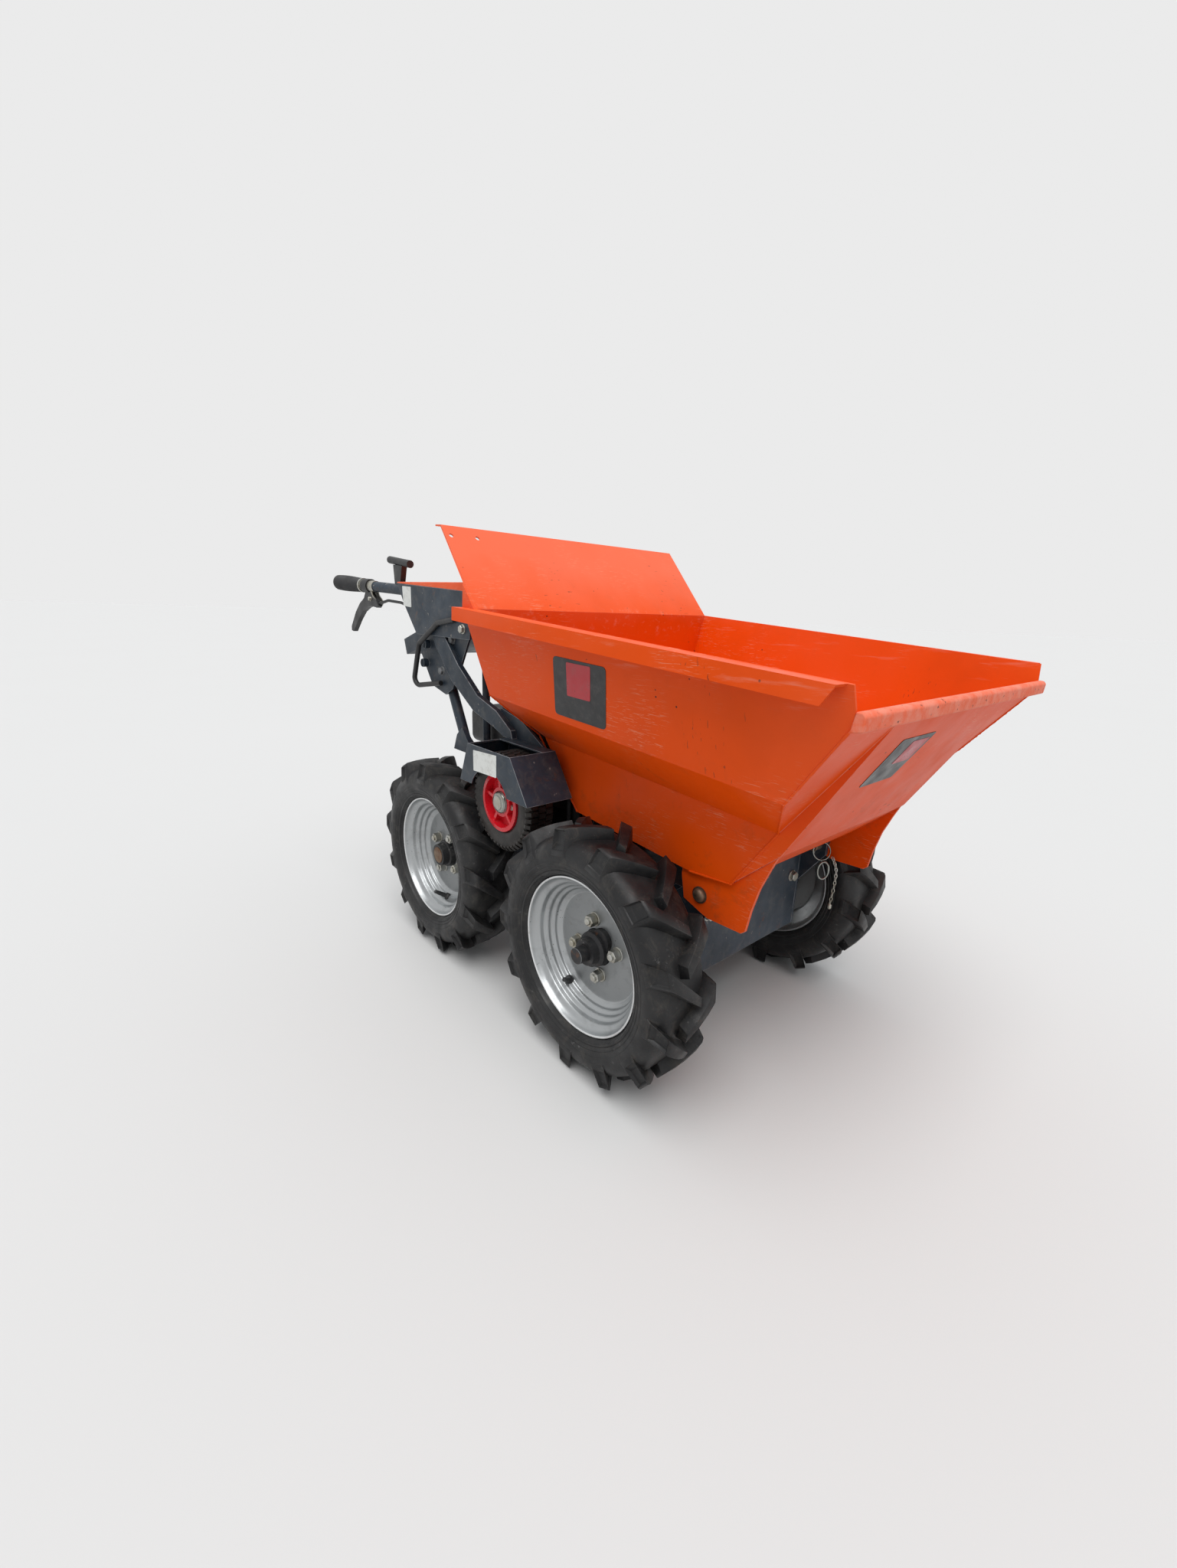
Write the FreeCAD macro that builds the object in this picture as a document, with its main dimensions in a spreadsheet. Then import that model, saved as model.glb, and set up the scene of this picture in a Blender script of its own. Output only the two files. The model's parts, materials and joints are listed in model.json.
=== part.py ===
"""Site dumper: a walk-behind four-wheel mini dumper with a forward tipping skip.

Frame: X forward to the pour lip, Y to the machine's left, Z up, millimetres. The origin is on the
ground, under the middle of the machine's box. Sketches are drawn from the point midway between the
axles, and every piece is then moved forward by wheel_mid.
"""
import FreeCAD, Part
import math
import os
from FreeCAD import Vector, Placement, Rotation

doc = FreeCAD.newDocument("site_dumper")

DIMENSIONS = (
    # alias, millimetres or degrees, meaning
    ("wheel_mid", 100.56, "middle of the wheelbase ahead of the origin"),
    ("wheelbase", 530, "front axle to rear axle"),
    ("axle_height", 227.5, "axles above the ground"),
    ("tyre_plane", 288, "middle of a road tyre from the centreline"),
    ("tyre_width", 114, "road tyre section"),
    ("lug_radius", 227.5, "road tyre over the lugs"),
    ("core_radius", 206, "road tyre between the lugs"),
    ("rim_radius", 140, "rim over its flanges"),
    ("rim_width", 86, "rim over its flanges, across"),
    ("rim_sheet", 3, "rim and wheel disc sheet"),
    ("axle_radius", 14.5, "wheel spindle"),
    ("axle_beam", 22, "axle between the wheels"),
    ("drive_height", 200, "drive wheel shaft above the axles"),
    ("drive_radius", 98.5, "drive wheel over its tread"),
    ("drive_plane", 279, "middle of a drive wheel from the centreline"),
    ("drive_width", 66, "drive wheel tyre section"),
    ("drive_rim", 58, "drive wheel hub radius"),
    ("lug_count", 13, "lugs on each half of a road tyre"),
    ("lug_lag", 13, "a lug's shoulder trails its middle by this angle"),
    ("shaft_radius", 12, "drive shaft"),
    ("rail_plane", 160, "chassis side plates from the centreline"),
    ("rail_sheet", 6, "chassis plate"),
    ("skip_sheet", 3, "skip sheet"),
    ("skip_pitch", 4.4, "rim slopes down to the front by this angle"),
    ("rim_half", 330, "skip half width at the rim"),
    ("chine_half", 292, "skip half width at the top of the chine"),
    ("box_half", 207, "skip half width between the wheels"),
    ("chine_top", 159, "top of the chine below the rim"),
    ("chine_low", 234, "bottom of the chine below the rim"),
    ("floor_depth", 353, "floor below the rim"),
    ("bracket_plane", 198, "skip pivot brackets from the centreline"),
    ("bracket_sheet", 5, "skip pivot bracket plate"),
    ("pivot_x", 412, "tipping pivot ahead of the wheelbase middle"),
    ("pivot_z", 362, "tipping pivot above the ground"),
    ("pivot_radius", 10, "tipping pivot pin"),
    ("guard_plane", 335, "outer face of a drive wheel guard"),
    ("guard_sheet", 3, "guard sheet"),
    ("carrier_plane", 229, "plates that carry the drive wheels and the console"),
    ("carrier_sheet", 6, "those plates"),
    ("arm_bar", 13, "control arm's flat bar"),
    ("console_half", 247, "console side plates from the centreline"),
    ("console_sheet", 4, "console side plate"),
    ("handle_radius", 13, "handlebar tube"),
    ("handle_flare", 8, "handlebars spread to the rear by this angle"),
    ("handle_rise", 3.3, "handlebars rise to the rear by this angle"),
    ("grip_radius", 20, "grip"),
    ("grip_length", 129, "grip"),
    ("crank_height", 371, "engine's crankshaft above the ground"),
    ("plate_hole", 4.5, "holes near the back plate's top corner"),
)

sheet = doc.addObject("Spreadsheet::Sheet", "Dim")
for row, (alias, value, meaning) in enumerate(DIMENSIONS, start=2):
    sheet.set("A%d" % row, alias)
    sheet.set("B%d" % row, str(value))
    sheet.set("C%d" % row, meaning)
    sheet.setAlias("B%d" % row, alias)
doc.recompute()


def dim(alias):
    return float(sheet.get(alias))


PIECES = {}
SIDES = (("right", -1), ("left", 1))
ENDS = (("front", 1), ("rear", -1))
WIDE_Y = Vector(0, 1, 0)


def place(piece, x=0.0, y=0.0, z=0.0, pitch=0.0):
    """Stands a piece at x, y, z from the middle of the wheelbase, pitched about Y."""
    piece.Placement = Placement(Vector(dim("wheel_mid") + x, y, z), Rotation(WIDE_Y, pitch))


def name_piece(piece, label):
    piece.Label = label
    PIECES[label] = piece
    return piece


def draw_loop(sketch, points):
    for start, end in zip(points, points[1:] + points[:1]):
        line = Part.LineSegment(Vector(start[0], start[1], 0), Vector(end[0], end[1], 0))
        sketch.addGeometry(line, False)


def sketch_in(body, role, name, loops=(), circles=()):
    """Closed outlines in one of the body's own planes: straight-sided loops and circles."""
    sketch = body.newObject("Sketcher::SketchObject", name)
    plane = [item for item in body.Origin.OriginFeatures if item.Role == role][0]
    sketch.AttachmentSupport = (plane, [""])
    sketch.MapMode = "FlatFace"
    for loop in loops:
        draw_loop(sketch, loop)
    for across, up, radius in circles:
        circle = Part.Circle(Vector(across, up, 0), Vector(0, 0, 1), radius)
        sketch.addGeometry(circle, False)
    return sketch


def add_pad(body, name, sketch, thickness):
    """A pad shared about its sketch's plane; thickness is a sheet alias or millimetres."""
    pad = body.newObject("PartDesign::Pad", name)
    pad.Profile = sketch
    if isinstance(thickness, str):
        pad.setExpression("Length", "Dim." + thickness)
    else:
        pad.Length = thickness
    pad.SideType = "Symmetric"


def plate(label, points, thickness, role="XZ_Plane", circles=()):
    """A flat piece cut to an outline, its thickness shared about the outline's plane."""
    body = doc.addObject("PartDesign::Body", label + "_body")
    sketch = sketch_in(body, role, label + "_outline", [points], circles)
    add_pad(body, label + "_pad", sketch, thickness)
    return name_piece(body, label)


def turned(label, profile):
    """A turned piece about Y: profile holds (radius, y) corners."""
    body = doc.addObject("PartDesign::Body", label + "_body")
    sketch = sketch_in(body, "XY_Plane", label + "_profile", [profile])
    revolution = body.newObject("PartDesign::Revolution", label + "_turn")
    revolution.Profile = sketch
    revolution.ReferenceAxis = (sketch, ["V_Axis"])
    revolution.Angle = 360
    return name_piece(body, label)


def raised(body, label, middle_y, thickness, loops=(), circles=()):
    """Adds a pad across Y to a turned piece, shared about middle_y."""
    sketch = sketch_in(body, "XZ_Plane", label + "_outline", loops, circles)
    sketch.AttachmentOffset = Placement(Vector(0, 0, -middle_y), Rotation())
    add_pad(body, label + "_pad", sketch, thickness)


def shaped(label, shape):
    piece = doc.addObject("Part::Feature", label + "_shape")
    piece.Shape = shape
    return name_piece(piece, label)


def slab(points, low, high, across="y"):
    """A straight-sided solid between low and high on one axis; points lie in the other two, in order."""
    place_corner = {
        "x": lambda a, b: Vector(low, a, b),
        "y": lambda a, b: Vector(a, low, b),
        "z": lambda a, b: Vector(a, b, low),
    }[across]
    way = {"x": Vector(1, 0, 0), "y": WIDE_Y, "z": Vector(0, 0, 1)}[across]
    corners = [place_corner(a, b) for a, b in points]
    return Part.Face(Part.makePolygon(corners + corners[:1])).extrude(way * (high - low))


def block(x, y, z):
    """A box from its (low, high) pairs."""
    low = Vector(x[0], y[0], z[0])
    return Part.makeBox(x[1] - x[0], y[1] - y[0], z[1] - z[0], low)


def rod(start, end, radius):
    """A round bar between two points."""
    start, end = Vector(*start), Vector(*end)
    return Part.makeCylinder(radius, (end - start).Length, start, end - start)


def joined(shapes):
    return shapes[0].multiFuse(shapes[1:]).removeSplitter()


def bent_rod(points, bend, radius):
    """A round bar along straight runs joined by tangent arcs."""
    points = [Vector(*p) for p in points]
    edges = []
    last = points[0]
    for before, corner, after in zip(points, points[1:], points[2:]):
        back = (before - corner).normalize()
        ahead = (after - corner).normalize()
        half = back.getAngle(ahead) / 2
        reach = bend / math.tan(half)
        start = corner + back * reach
        end = corner + ahead * reach
        middle = corner + (back + ahead).normalize() * (bend / math.sin(half) - bend)
        edges.append(Part.LineSegment(last, start).toShape())
        edges.append(Part.Arc(start, middle, end).toShape())
        last = end
    edges.append(Part.LineSegment(last, points[-1]).toShape())
    section = Part.Wire([Part.Circle(points[0], points[1] - points[0], radius).toShape()])
    return Part.Wire(edges).makePipeShell([section], True, False)


def closed_solid(faces):
    shell = Part.Shell(Part.makeShell(faces).Faces)
    shell.sewShape()
    solid = Part.Solid(shell)
    if solid.Volume < 0:
        solid.reverse()
    return solid


def flat_face(corners):
    return Part.Face(Part.makePolygon(corners + corners[:1]))


def flat_faces(points):
    """One face where the points are in one plane, else triangles fanned from the first."""
    normal = (points[1] - points[0]).cross(points[2] - points[0]).normalize()
    if all(abs((p - points[0]).dot(normal)) < 1e-5 for p in points):
        return [flat_face(points)]
    return [
        flat_face([points[0], b, c])
        for b, c in zip(points[1:], points[2:])
        if (b - points[0]).cross(c - points[0]).Length > 1e-6
    ]


# Tyres, in flat facets about Y

LUG_PHASES = {
    # where a tyre's first right-hand lug stands, degrees from forward toward the top
    "front_right": 5.9,
    "rear_right": 22.7,
    "front_left": 12,
    "rear_left": 3,
}
TREAD_STATIONS = (
    # shares of the half width and of the lag, groove below the core, lug below the tips, lug's half widths
    (0.0, 0.0, 0, 0.0, 8.0, 12.0),
    (0.79, 0.8, 0, 1.5, 10.0, 15.0),
    (0.99, 1.0, 12, 33.5, 12.0, 16.0),
)
LUG_EDGES = 4  # groove, tip, tip, groove
DRIVE_FACETS = 24
BEAD_DROP = 13  # a road tyre's seat below the rim's edge
SEAT_GAP = 0.02


def around(radius, y, angle):
    """A point on a wheel: angle in degrees from forward, rising to the top."""
    turn = math.radians(angle)
    return Vector(radius * math.cos(turn), y, radius * math.sin(turn))


def ringed_solid(rings):
    """A closed solid from rings of points, each joined to the next and the last to the first."""
    faces = []
    for near, far in zip(rings, rings[1:] + rings[:1]):
        for a, b, c, d in zip(near, near[1:] + near[:1], far[1:] + far[:1], far):
            faces += flat_faces([a, b, c, d])
    return closed_solid(faces)


def faceted_ring(half_section, facets):
    """A closed ring; half_section holds (radius, half width) from its inside out, the same both ways."""
    section = [(radius, -half) for radius, half in half_section]
    section += [(radius, half) for radius, half in reversed(half_section)]
    step = 360 / facets
    return ringed_solid([[around(radius, y, step * k) for k in range(facets)] for radius, y in section])


def half_tyre(side):
    """A road tyre from its middle plane out to one side; the lugs' shoulders trail their middles."""
    half, lag, count = dim("tyre_width") / 2, dim("lug_lag"), int(dim("lug_count"))
    step = 360 / count
    first = 0 if side < 0 else step / 2
    rings = []
    for across_share, lag_share, groove_drop, tip_drop, tip_half, root_half in TREAD_STATIONS:
        groove, tip = dim("core_radius") - groove_drop, dim("lug_radius") - tip_drop
        ring = []
        for k in range(count):
            middle = first + step * k + lag * lag_share
            for radius, off in ((groove, -root_half), (tip, -tip_half), (tip, tip_half), (groove, root_half)):
                ring.append(around(radius, side * half * across_share, middle + math.degrees(off / radius)))
        rings.append(ring)
    column = step / LUG_EDGES
    rim, seat_half = dim("rim_radius"), dim("rim_width") / 2 - dim("rim_sheet")
    seat = (rim - BEAD_DROP) / math.cos(math.radians(column / 2)) + SEAT_GAP
    start = first - 1.5 * column
    for radius, y in ((rim + 22, half), (rim + 2, seat_half), (seat, seat_half), (seat, 0)):
        rings.append([around(radius, side * y, start + column * k) for k in range(count * LUG_EDGES)])
    return ringed_solid(rings)


tyre_shape = joined([half_tyre(side) for side_name, side in SIDES])

# Road wheels

WELL_DROP = 32  # the well below the rim's edge
DISC_OUT = 5  # the wheel disc outside the tyre's middle
DISC_HALF = 3
HUB_EYE = 33.5  # hole in the disc
RUNNING_GAP = 0.1
LOBE_RADIUS = 14  # lobes of a front hub's flange, between the nuts
LOBE_CIRCLE = 32


def build_rim(name):
    """Rim with its seats, its stepped well and the disc inside it; +Y is the wheel's outside."""
    rim, flange, sheet_t = dim("rim_radius"), dim("rim_width") / 2, dim("rim_sheet")
    bead, well = rim - BEAD_DROP, rim - WELL_DROP
    return turned("rim_" + name, [
        (rim, -flange),
        (rim, -flange + sheet_t),
        (bead, -flange + sheet_t),
        (bead, -flange + 22),
        (well, -flange + 28),
        (well, flange - 28),
        (bead, flange - 22),
        (bead, flange - sheet_t),
        (rim, flange - sheet_t),
        (rim, flange),
        (bead - sheet_t, flange),
        (bead - sheet_t, flange - 18),
        (bead - 9, flange - 20),
        (bead - 11, flange - 22.5),
        (well - 1, flange - 25),
        (well - sheet_t, flange - 28),
        (well - 5, DISC_OUT + DISC_HALF),
        (HUB_EYE, DISC_OUT + DISC_HALF),
        (HUB_EYE, DISC_OUT - DISC_HALF),
        (well - sheet_t, DISC_OUT - DISC_HALF),
        (well - sheet_t, -flange + 26),
        (bead - sheet_t, -flange + 20),
        (bead - sheet_t, -flange),
    ])


def build_hub(name, end):
    """Hub on its spindle: a flange behind the disc and a boss through it; a rear one is capped."""
    bore = dim("axle_radius") + RUNNING_GAP
    boss = {
        "front": [(24, DISC_OUT + 12), (20, DISC_OUT + 18)],
        "rear": [(25, DISC_OUT + 12), (25, DISC_OUT + 16)],
    }
    boss_end = boss[end][-1][1]
    hub = turned("hub_" + name, [
        (bore, -52),
        (32, -52),
        (32, DISC_OUT - 14),
        (62, DISC_OUT - 14),
        (62, DISC_OUT - DISC_HALF - 0.2),
        (HUB_EYE, DISC_OUT - DISC_HALF - 0.2),
        (30, DISC_OUT + 10),
        *boss[end],
        (bore, boss_end),
    ])
    if end == "front":
        lobes = [around(LOBE_CIRCLE, 0, 90 * k) for k in range(4)]
        circles = [(p.x, p.z, LOBE_RADIUS) for p in lobes]
        raised(hub, "hub_%s_lobes" % name, DISC_OUT + DISC_HALF + 3, 6, circles=circles)
    return hub


def face_out(piece, x, side, z, plane):
    """Stands a wheel piece with its outside away from the machine's middle."""
    turn = Rotation(Vector(0, 0, 1), 0 if side > 0 else 180)
    piece.Placement = Placement(Vector(dim("wheel_mid") + x, side * plane, z), turn)


for end, end_sign in ENDS:
    for side_name, side in SIDES:
        name = end + "_" + side_name
        wheel_x = end_sign * dim("wheelbase") / 2
        tyre = shaped("tyre_" + name, tyre_shape)
        place(tyre, wheel_x, side * dim("tyre_plane"), dim("axle_height"), pitch=-LUG_PHASES[name])
        for piece in (build_rim(name), build_hub(name, end)):
            face_out(piece, wheel_x, side, dim("axle_height"), dim("tyre_plane"))

# Drive wheels, which rub on both road tyres of a side

DRIVE_WEB = 12  # middle of the hub's web outside the wheel's middle
WEB_HALF = 4
HUB_RIM_WALL = 10
RIB_COUNT = 5
RIB_HALF = 3
RIB_RISE = 13
CAP_RING = 29
CAP_RADIUS = 22
SHAFT_START = 92  # inner end of a drive shaft from the centreline

drive_z = dim("axle_height") + dim("drive_height")
drive_half = dim("drive_width") / 2
tread, drive_rim = dim("drive_radius"), dim("drive_rim")
drive_tyre_shape = faceted_ring([
    (drive_rim / math.cos(math.pi / DRIVE_FACETS) + SEAT_GAP, drive_half - 6),
    (drive_rim + 14, drive_half),
    (tread - 10, drive_half - 3),
    (tread, drive_half - 12),
], DRIVE_FACETS)
rib_outer = drive_rim - HUB_RIM_WALL + 1
for side_name, side in SIDES:
    tyre = shaped("drive_tyre_" + side_name, drive_tyre_shape)
    place(tyre, 0, side * dim("drive_plane"), drive_z)
    web_face = DRIVE_WEB + WEB_HALF
    hub = turned("drive_hub_" + side_name, [
        (drive_rim, -drive_half + 6),
        (drive_rim, drive_half - 1),
        (drive_rim - 8, drive_half),
        (drive_rim - HUB_RIM_WALL, web_face),
        (CAP_RING, web_face),
        (CAP_RING, drive_half - 5),
        (CAP_RADIUS + 0.5, drive_half - 5),
        (CAP_RADIUS + 0.5, web_face),
        (dim("shaft_radius"), web_face),
        (dim("shaft_radius"), DRIVE_WEB - WEB_HALF),
        (drive_rim - HUB_RIM_WALL, DRIVE_WEB - WEB_HALF),
        (drive_rim - 8, -drive_half + 6),
    ])
    ribs = []
    for k in range(RIB_COUNT):
        way = around(1, 0, 360 / RIB_COUNT * k - 60)
        aside = Vector(-way.z, 0, way.x)
        inner, outer, half_rib = way * (CAP_RING - 1), way * rib_outer, aside * RIB_HALF
        corners = (inner - half_rib, outer - half_rib, outer + half_rib, inner + half_rib)
        ribs.append([(p.x, p.z) for p in corners])
    raised(hub, "drive_hub_%s_ribs" % side_name, web_face + RIB_RISE / 2 - 1, RIB_RISE, loops=ribs)
    face_out(hub, 0, side, drive_z, dim("drive_plane"))
    shaft_in = SHAFT_START - dim("drive_plane")
    shaft = turned("drive_shaft_" + side_name, [
        (0, shaft_in),
        (dim("shaft_radius"), shaft_in),
        (dim("shaft_radius"), web_face),
        (CAP_RADIUS, web_face + 0.2),
        (CAP_RADIUS, drive_half - 3),
        (18, drive_half + 2),
        (10, drive_half + 5),
        (0, drive_half + 6),
    ])
    face_out(shaft, 0, side, drive_z, dim("drive_plane"))

# Chassis

RAIL_OUTLINE = [
    (-430, 300), (-430, 235), (-330, 190), (330, 180),
    (383, 180), (383, 340), (330, 340), (300, 300),
]
FRONT_PLATE_X = 380
FRONT_PLATE_Z = (180, 340)
DECK_X = (-425, 300)
DECK_Z = 262
axle_holes = [(sign * dim("wheelbase") / 2, dim("axle_height"), dim("axle_radius")) for sign in (-1, 1)]
for side_name, side in SIDES:
    rail = plate("chassis_rail_" + side_name, RAIL_OUTLINE, "rail_sheet", circles=axle_holes)
    place(rail, 0, side * dim("rail_plane"), 0)
inner_rail = dim("rail_plane") - dim("rail_sheet") / 2
outer_rail = dim("rail_plane") + dim("rail_sheet") / 2
front_plate = plate("chassis_front_plate", [
    (-inner_rail, FRONT_PLATE_Z[0]),
    (inner_rail, FRONT_PLATE_Z[0]),
    (inner_rail, FRONT_PLATE_Z[1]),
    (-inner_rail, FRONT_PLATE_Z[1]),
], "rail_sheet", role="YZ_Plane")
place(front_plate, FRONT_PLATE_X, 0, 0)
deck = plate("chassis_deck", [
    (DECK_X[0], -inner_rail),
    (DECK_X[1], -inner_rail),
    (DECK_X[1], inner_rail),
    (DECK_X[0], inner_rail),
], "rail_sheet", role="XY_Plane")
place(deck, 0, 0, DECK_Z)
spindle, beam = dim("axle_radius"), dim("axle_beam")
beam_end = dim("tyre_plane") - 57
AXLE_TIPS = {"front": dim("tyre_plane") + dim("rim_width") / 2 - 1, "rear": dim("tyre_plane") + DISC_OUT + 14}
for end, sign in ENDS:
    half_axle = [
        (beam, inner_rail),
        (spindle, inner_rail),
        (spindle, outer_rail),
        (beam, outer_rail),
        (beam, beam_end),
        (spindle, beam_end),
        (spindle, AXLE_TIPS[end]),
        (0, AXLE_TIPS[end]),
    ]
    other_half = [(radius, -y) for radius, y in reversed(half_axle)]
    axle = turned(end + "_axle", half_axle + other_half)
    place(axle, sign * dim("wheelbase") / 2, 0, dim("axle_height"))

# Pivot ears on the chassis, and the pins that the skip turns on

px, pz, pin = dim("pivot_x"), dim("pivot_z"), dim("pivot_radius")
EAR_SHEET = 8
bracket_out = dim("bracket_plane") + dim("bracket_sheet") / 2
for side_name, side in SIDES:
    ear = plate("pivot_ear_" + side_name, [
        (335, 262),
        (372, 262),
        (px + 20, pz - 16),
        (px + 20, pz + 14),
        (px - 16, pz + 20),
        (335, 330),
    ], EAR_SHEET, circles=[(px, pz, pin)])
    place(ear, 0, side * (outer_rail + EAR_SHEET / 2), 0)
    pivot = turned("pivot_pin_" + side_name, [
        (0, side * outer_rail),
        (pin, side * outer_rail),
        (pin, side * (bracket_out + 0.5)),
        (16, side * (bracket_out + 0.5)),
        (12, side * (bracket_out + 8)),
        (0, side * (bracket_out + 10)),
    ])
    place(pivot, px, 0, pz)

# Skip. u runs forward along the rim from its rear fold, w up, the whole pitched down to the front.

rim_half, chine_half, box_half = dim("rim_half"), dim("chine_half"), dim("box_half")
chine_top, chine_low, floor_w = -dim("chine_top"), -dim("chine_low"), -dim("floor_depth")
lean = (rim_half - chine_half) / dim("chine_top")
rear_slope = (190 - 2) / (dim("floor_depth") - dim("chine_top"))
NOSE_HALF = 201.6
INSIDE = Vector(330, 0, -120)
REAR_FOLD = Vector(-49, 0, 786)
CORNERS = {
    # name: u, half width, w
    "rear_rim": (0, rim_half, 0),
    "rear_chine": (2, chine_half, chine_top),
    "rear_box": (2 + rear_slope * (chine_top - chine_low), box_half, chine_low),
    "rear_floor": (190, box_half, floor_w),
    "front_floor": (470, box_half, floor_w),
    "toe": (548, box_half, -340),
    "front_box": (607, box_half, chine_low),
    "front_chine": (653, chine_half, chine_top),
    "lip_end": (724, rim_half - lean * 46, -46),
    "wall_notch": (726, rim_half - lean * 26, -26),
    "wall_top": (721, rim_half, 0),
    "nose_top": (724, NOSE_HALF, -46),
    "nose_toe": (615, NOSE_HALF, -267),
    "plate_top": (-138, rim_half - 6, 139),
}
SIDE_PANELS = (
    ("rear_rim", "rear_chine", "front_chine", "lip_end", "wall_notch", "wall_top"),
    ("rear_chine", "rear_box", "front_box", "front_chine"),
    ("rear_box", "rear_floor", "front_floor", "toe", "front_box"),
)
NOSE_SIDES = (
    ("nose_top", "lip_end", "front_chine"),
    ("nose_top", "front_chine", "front_box"),
    ("nose_top", "front_box", "nose_toe"),
    ("nose_toe", "front_box", "toe"),
)
CROSS_PANELS = {
    # node: half outlines, joined across the centreline
    "skip_rear": (("rear_rim", "rear_chine"), ("rear_chine", "rear_box"), ("rear_box", "rear_floor")),
    "skip_floor": (("rear_floor", "front_floor"), ("front_floor", "toe"), ("toe", "nose_toe")),
    "skip_front": (("nose_toe", "nose_top"),),
    "skip_back_plate": (("plate_top", "rear_rim"),),
}


def at_side(names, side):
    return [(name, side) for name in names]


def across(names):
    return at_side(names, -1) + at_side(names[::-1], 1)


skip_faces = {}
for side_name, side in SIDES:
    skip_faces["skip_side_" + side_name] = [at_side(names, side) for names in SIDE_PANELS]
for node, outlines in CROSS_PANELS.items():
    skip_faces[node] = [across(names) for names in outlines]
for side_name, side in SIDES:
    skip_faces["skip_front"] += [at_side(names, side) for names in NOSE_SIDES]


def corner_point(key):
    u, half, w = CORNERS[key[0]]
    return Vector(u, half * key[1], w)


def inward_normal(keys):
    points = [corner_point(key) for key in keys]
    normal = Vector(0, 0, 0)
    for a, b in zip(points, points[1:] + points[:1]):
        normal += (a - points[0]).cross(b - points[0])
    normal.normalize()
    if normal.dot(INSIDE - points[0]) < 0:
        normal = normal * -1
    return normal


def solve_offset(normals, thickness):
    """The shortest move that lies thickness inside every plane, by damped least squares."""
    matrix = [[sum(n[i] * n[j] for n in normals) for j in range(3)] for i in range(3)]
    for i in range(3):
        matrix[i][i] += 1e-6
    right = [thickness * sum(n[i] for n in normals) for i in range(3)]
    for i in range(3):
        pivot = matrix[i][i]
        for j in range(i + 1, 3):
            factor = matrix[j][i] / pivot
            matrix[j] = [matrix[j][k] - factor * matrix[i][k] for k in range(3)]
            right[j] -= factor * right[i]
    move = [0.0, 0.0, 0.0]
    for i in (2, 1, 0):
        known = sum(matrix[i][k] * move[k] for k in range(i + 1, 3))
        move[i] = (right[i] - known) / matrix[i][i]
    return Vector(*move)


planes_at = {}
for faces in skip_faces.values():
    for keys in faces:
        for key in keys:
            planes_at.setdefault(key, []).append(inward_normal(keys))
skin = dim("skip_sheet")
inner_point = {key: corner_point(key) + solve_offset(normals, skin) for key, normals in planes_at.items()}


def folded_sheet(faces):
    """A sheet folded along the shared edges of its outer faces, mitred where it meets others."""
    edges = {}
    skin_faces = []
    for keys in faces:
        skin_faces += flat_faces([corner_point(key) for key in keys])
        skin_faces += flat_faces([inner_point[key] for key in keys])
        for pair in zip(keys, keys[1:] + keys[:1]):
            mark = tuple(sorted(pair))
            edges[mark] = edges.get(mark, 0) + 1
    for (a, b), uses in edges.items():
        if uses == 1:
            skin_faces += flat_faces([corner_point(a), corner_point(b), inner_point[b], inner_point[a]])
    return closed_solid(skin_faces)


def place_skip(piece):
    place(piece, REAR_FOLD.x, 0, REAR_FOLD.z, pitch=dim("skip_pitch"))


def from_skip(u, w):
    """Machine x and z, from the middle of the wheelbase, of a place in the skip's own frame."""
    spot = Rotation(WIDE_Y, dim("skip_pitch")).multVec(Vector(u, 0, w)) + REAR_FOLD
    return spot.x, spot.z


PLATE_HOLES = (
    # across from the centreline, up the back plate from its fold
    (-310.9, 172.1),
    (-253.7, 172.1),
)
PLATE_RETURN = 20  # the back plate's top edge, bent to the rear
FLANGE_REACH = 22  # rim flange outside the wall
FLANGE_DROP = 24
FLANGE_ENDS = (-41, 714)
FLANGE_CUT = 14  # the front end slopes back by this much over its drop


def back_plate_extras(solid):
    up_plate = corner_point(("plate_top", 1)) - corner_point(("rear_rim", 1))
    up_plate.y = 0
    up_plate.normalize()
    through = Vector(up_plate.z, 0, -up_plate.x)
    top_u, top_half, top_w = CORNERS["plate_top"]
    fold = inner_point[("plate_top", 1)]
    edge = slab([
        (top_u, top_w),
        (fold.x, fold.z),
        (fold.x - 1, top_w + skin),
        (top_u - PLATE_RETURN, top_w + skin),
        (top_u - PLATE_RETURN, top_w),
    ], -top_half, top_half)
    solid = solid.fuse(edge)
    for hole_y, up in PLATE_HOLES:
        start = Vector(0, hole_y, 0) + up_plate * up - through * 10
        solid = solid.cut(Part.makeCylinder(dim("plate_hole"), 20, start, through))
    return solid


def rear_corner(side):
    """The side wall's sheet round the rear corner: it runs on behind the rear wall as an ear."""
    lean_skin = skin * math.hypot(1, lean)
    corners = []
    for u, name in ((12, "rear_rim"), (FLANGE_ENDS[0], "rear_rim"), (0, "rear_chine"), (12, "rear_chine")):
        top_u, half, w = CORNERS[name]
        corners.append(Vector(top_u + u, side * half, w))
    return flat_face(corners).extrude(Vector(0, -side * lean_skin, 0))


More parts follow.
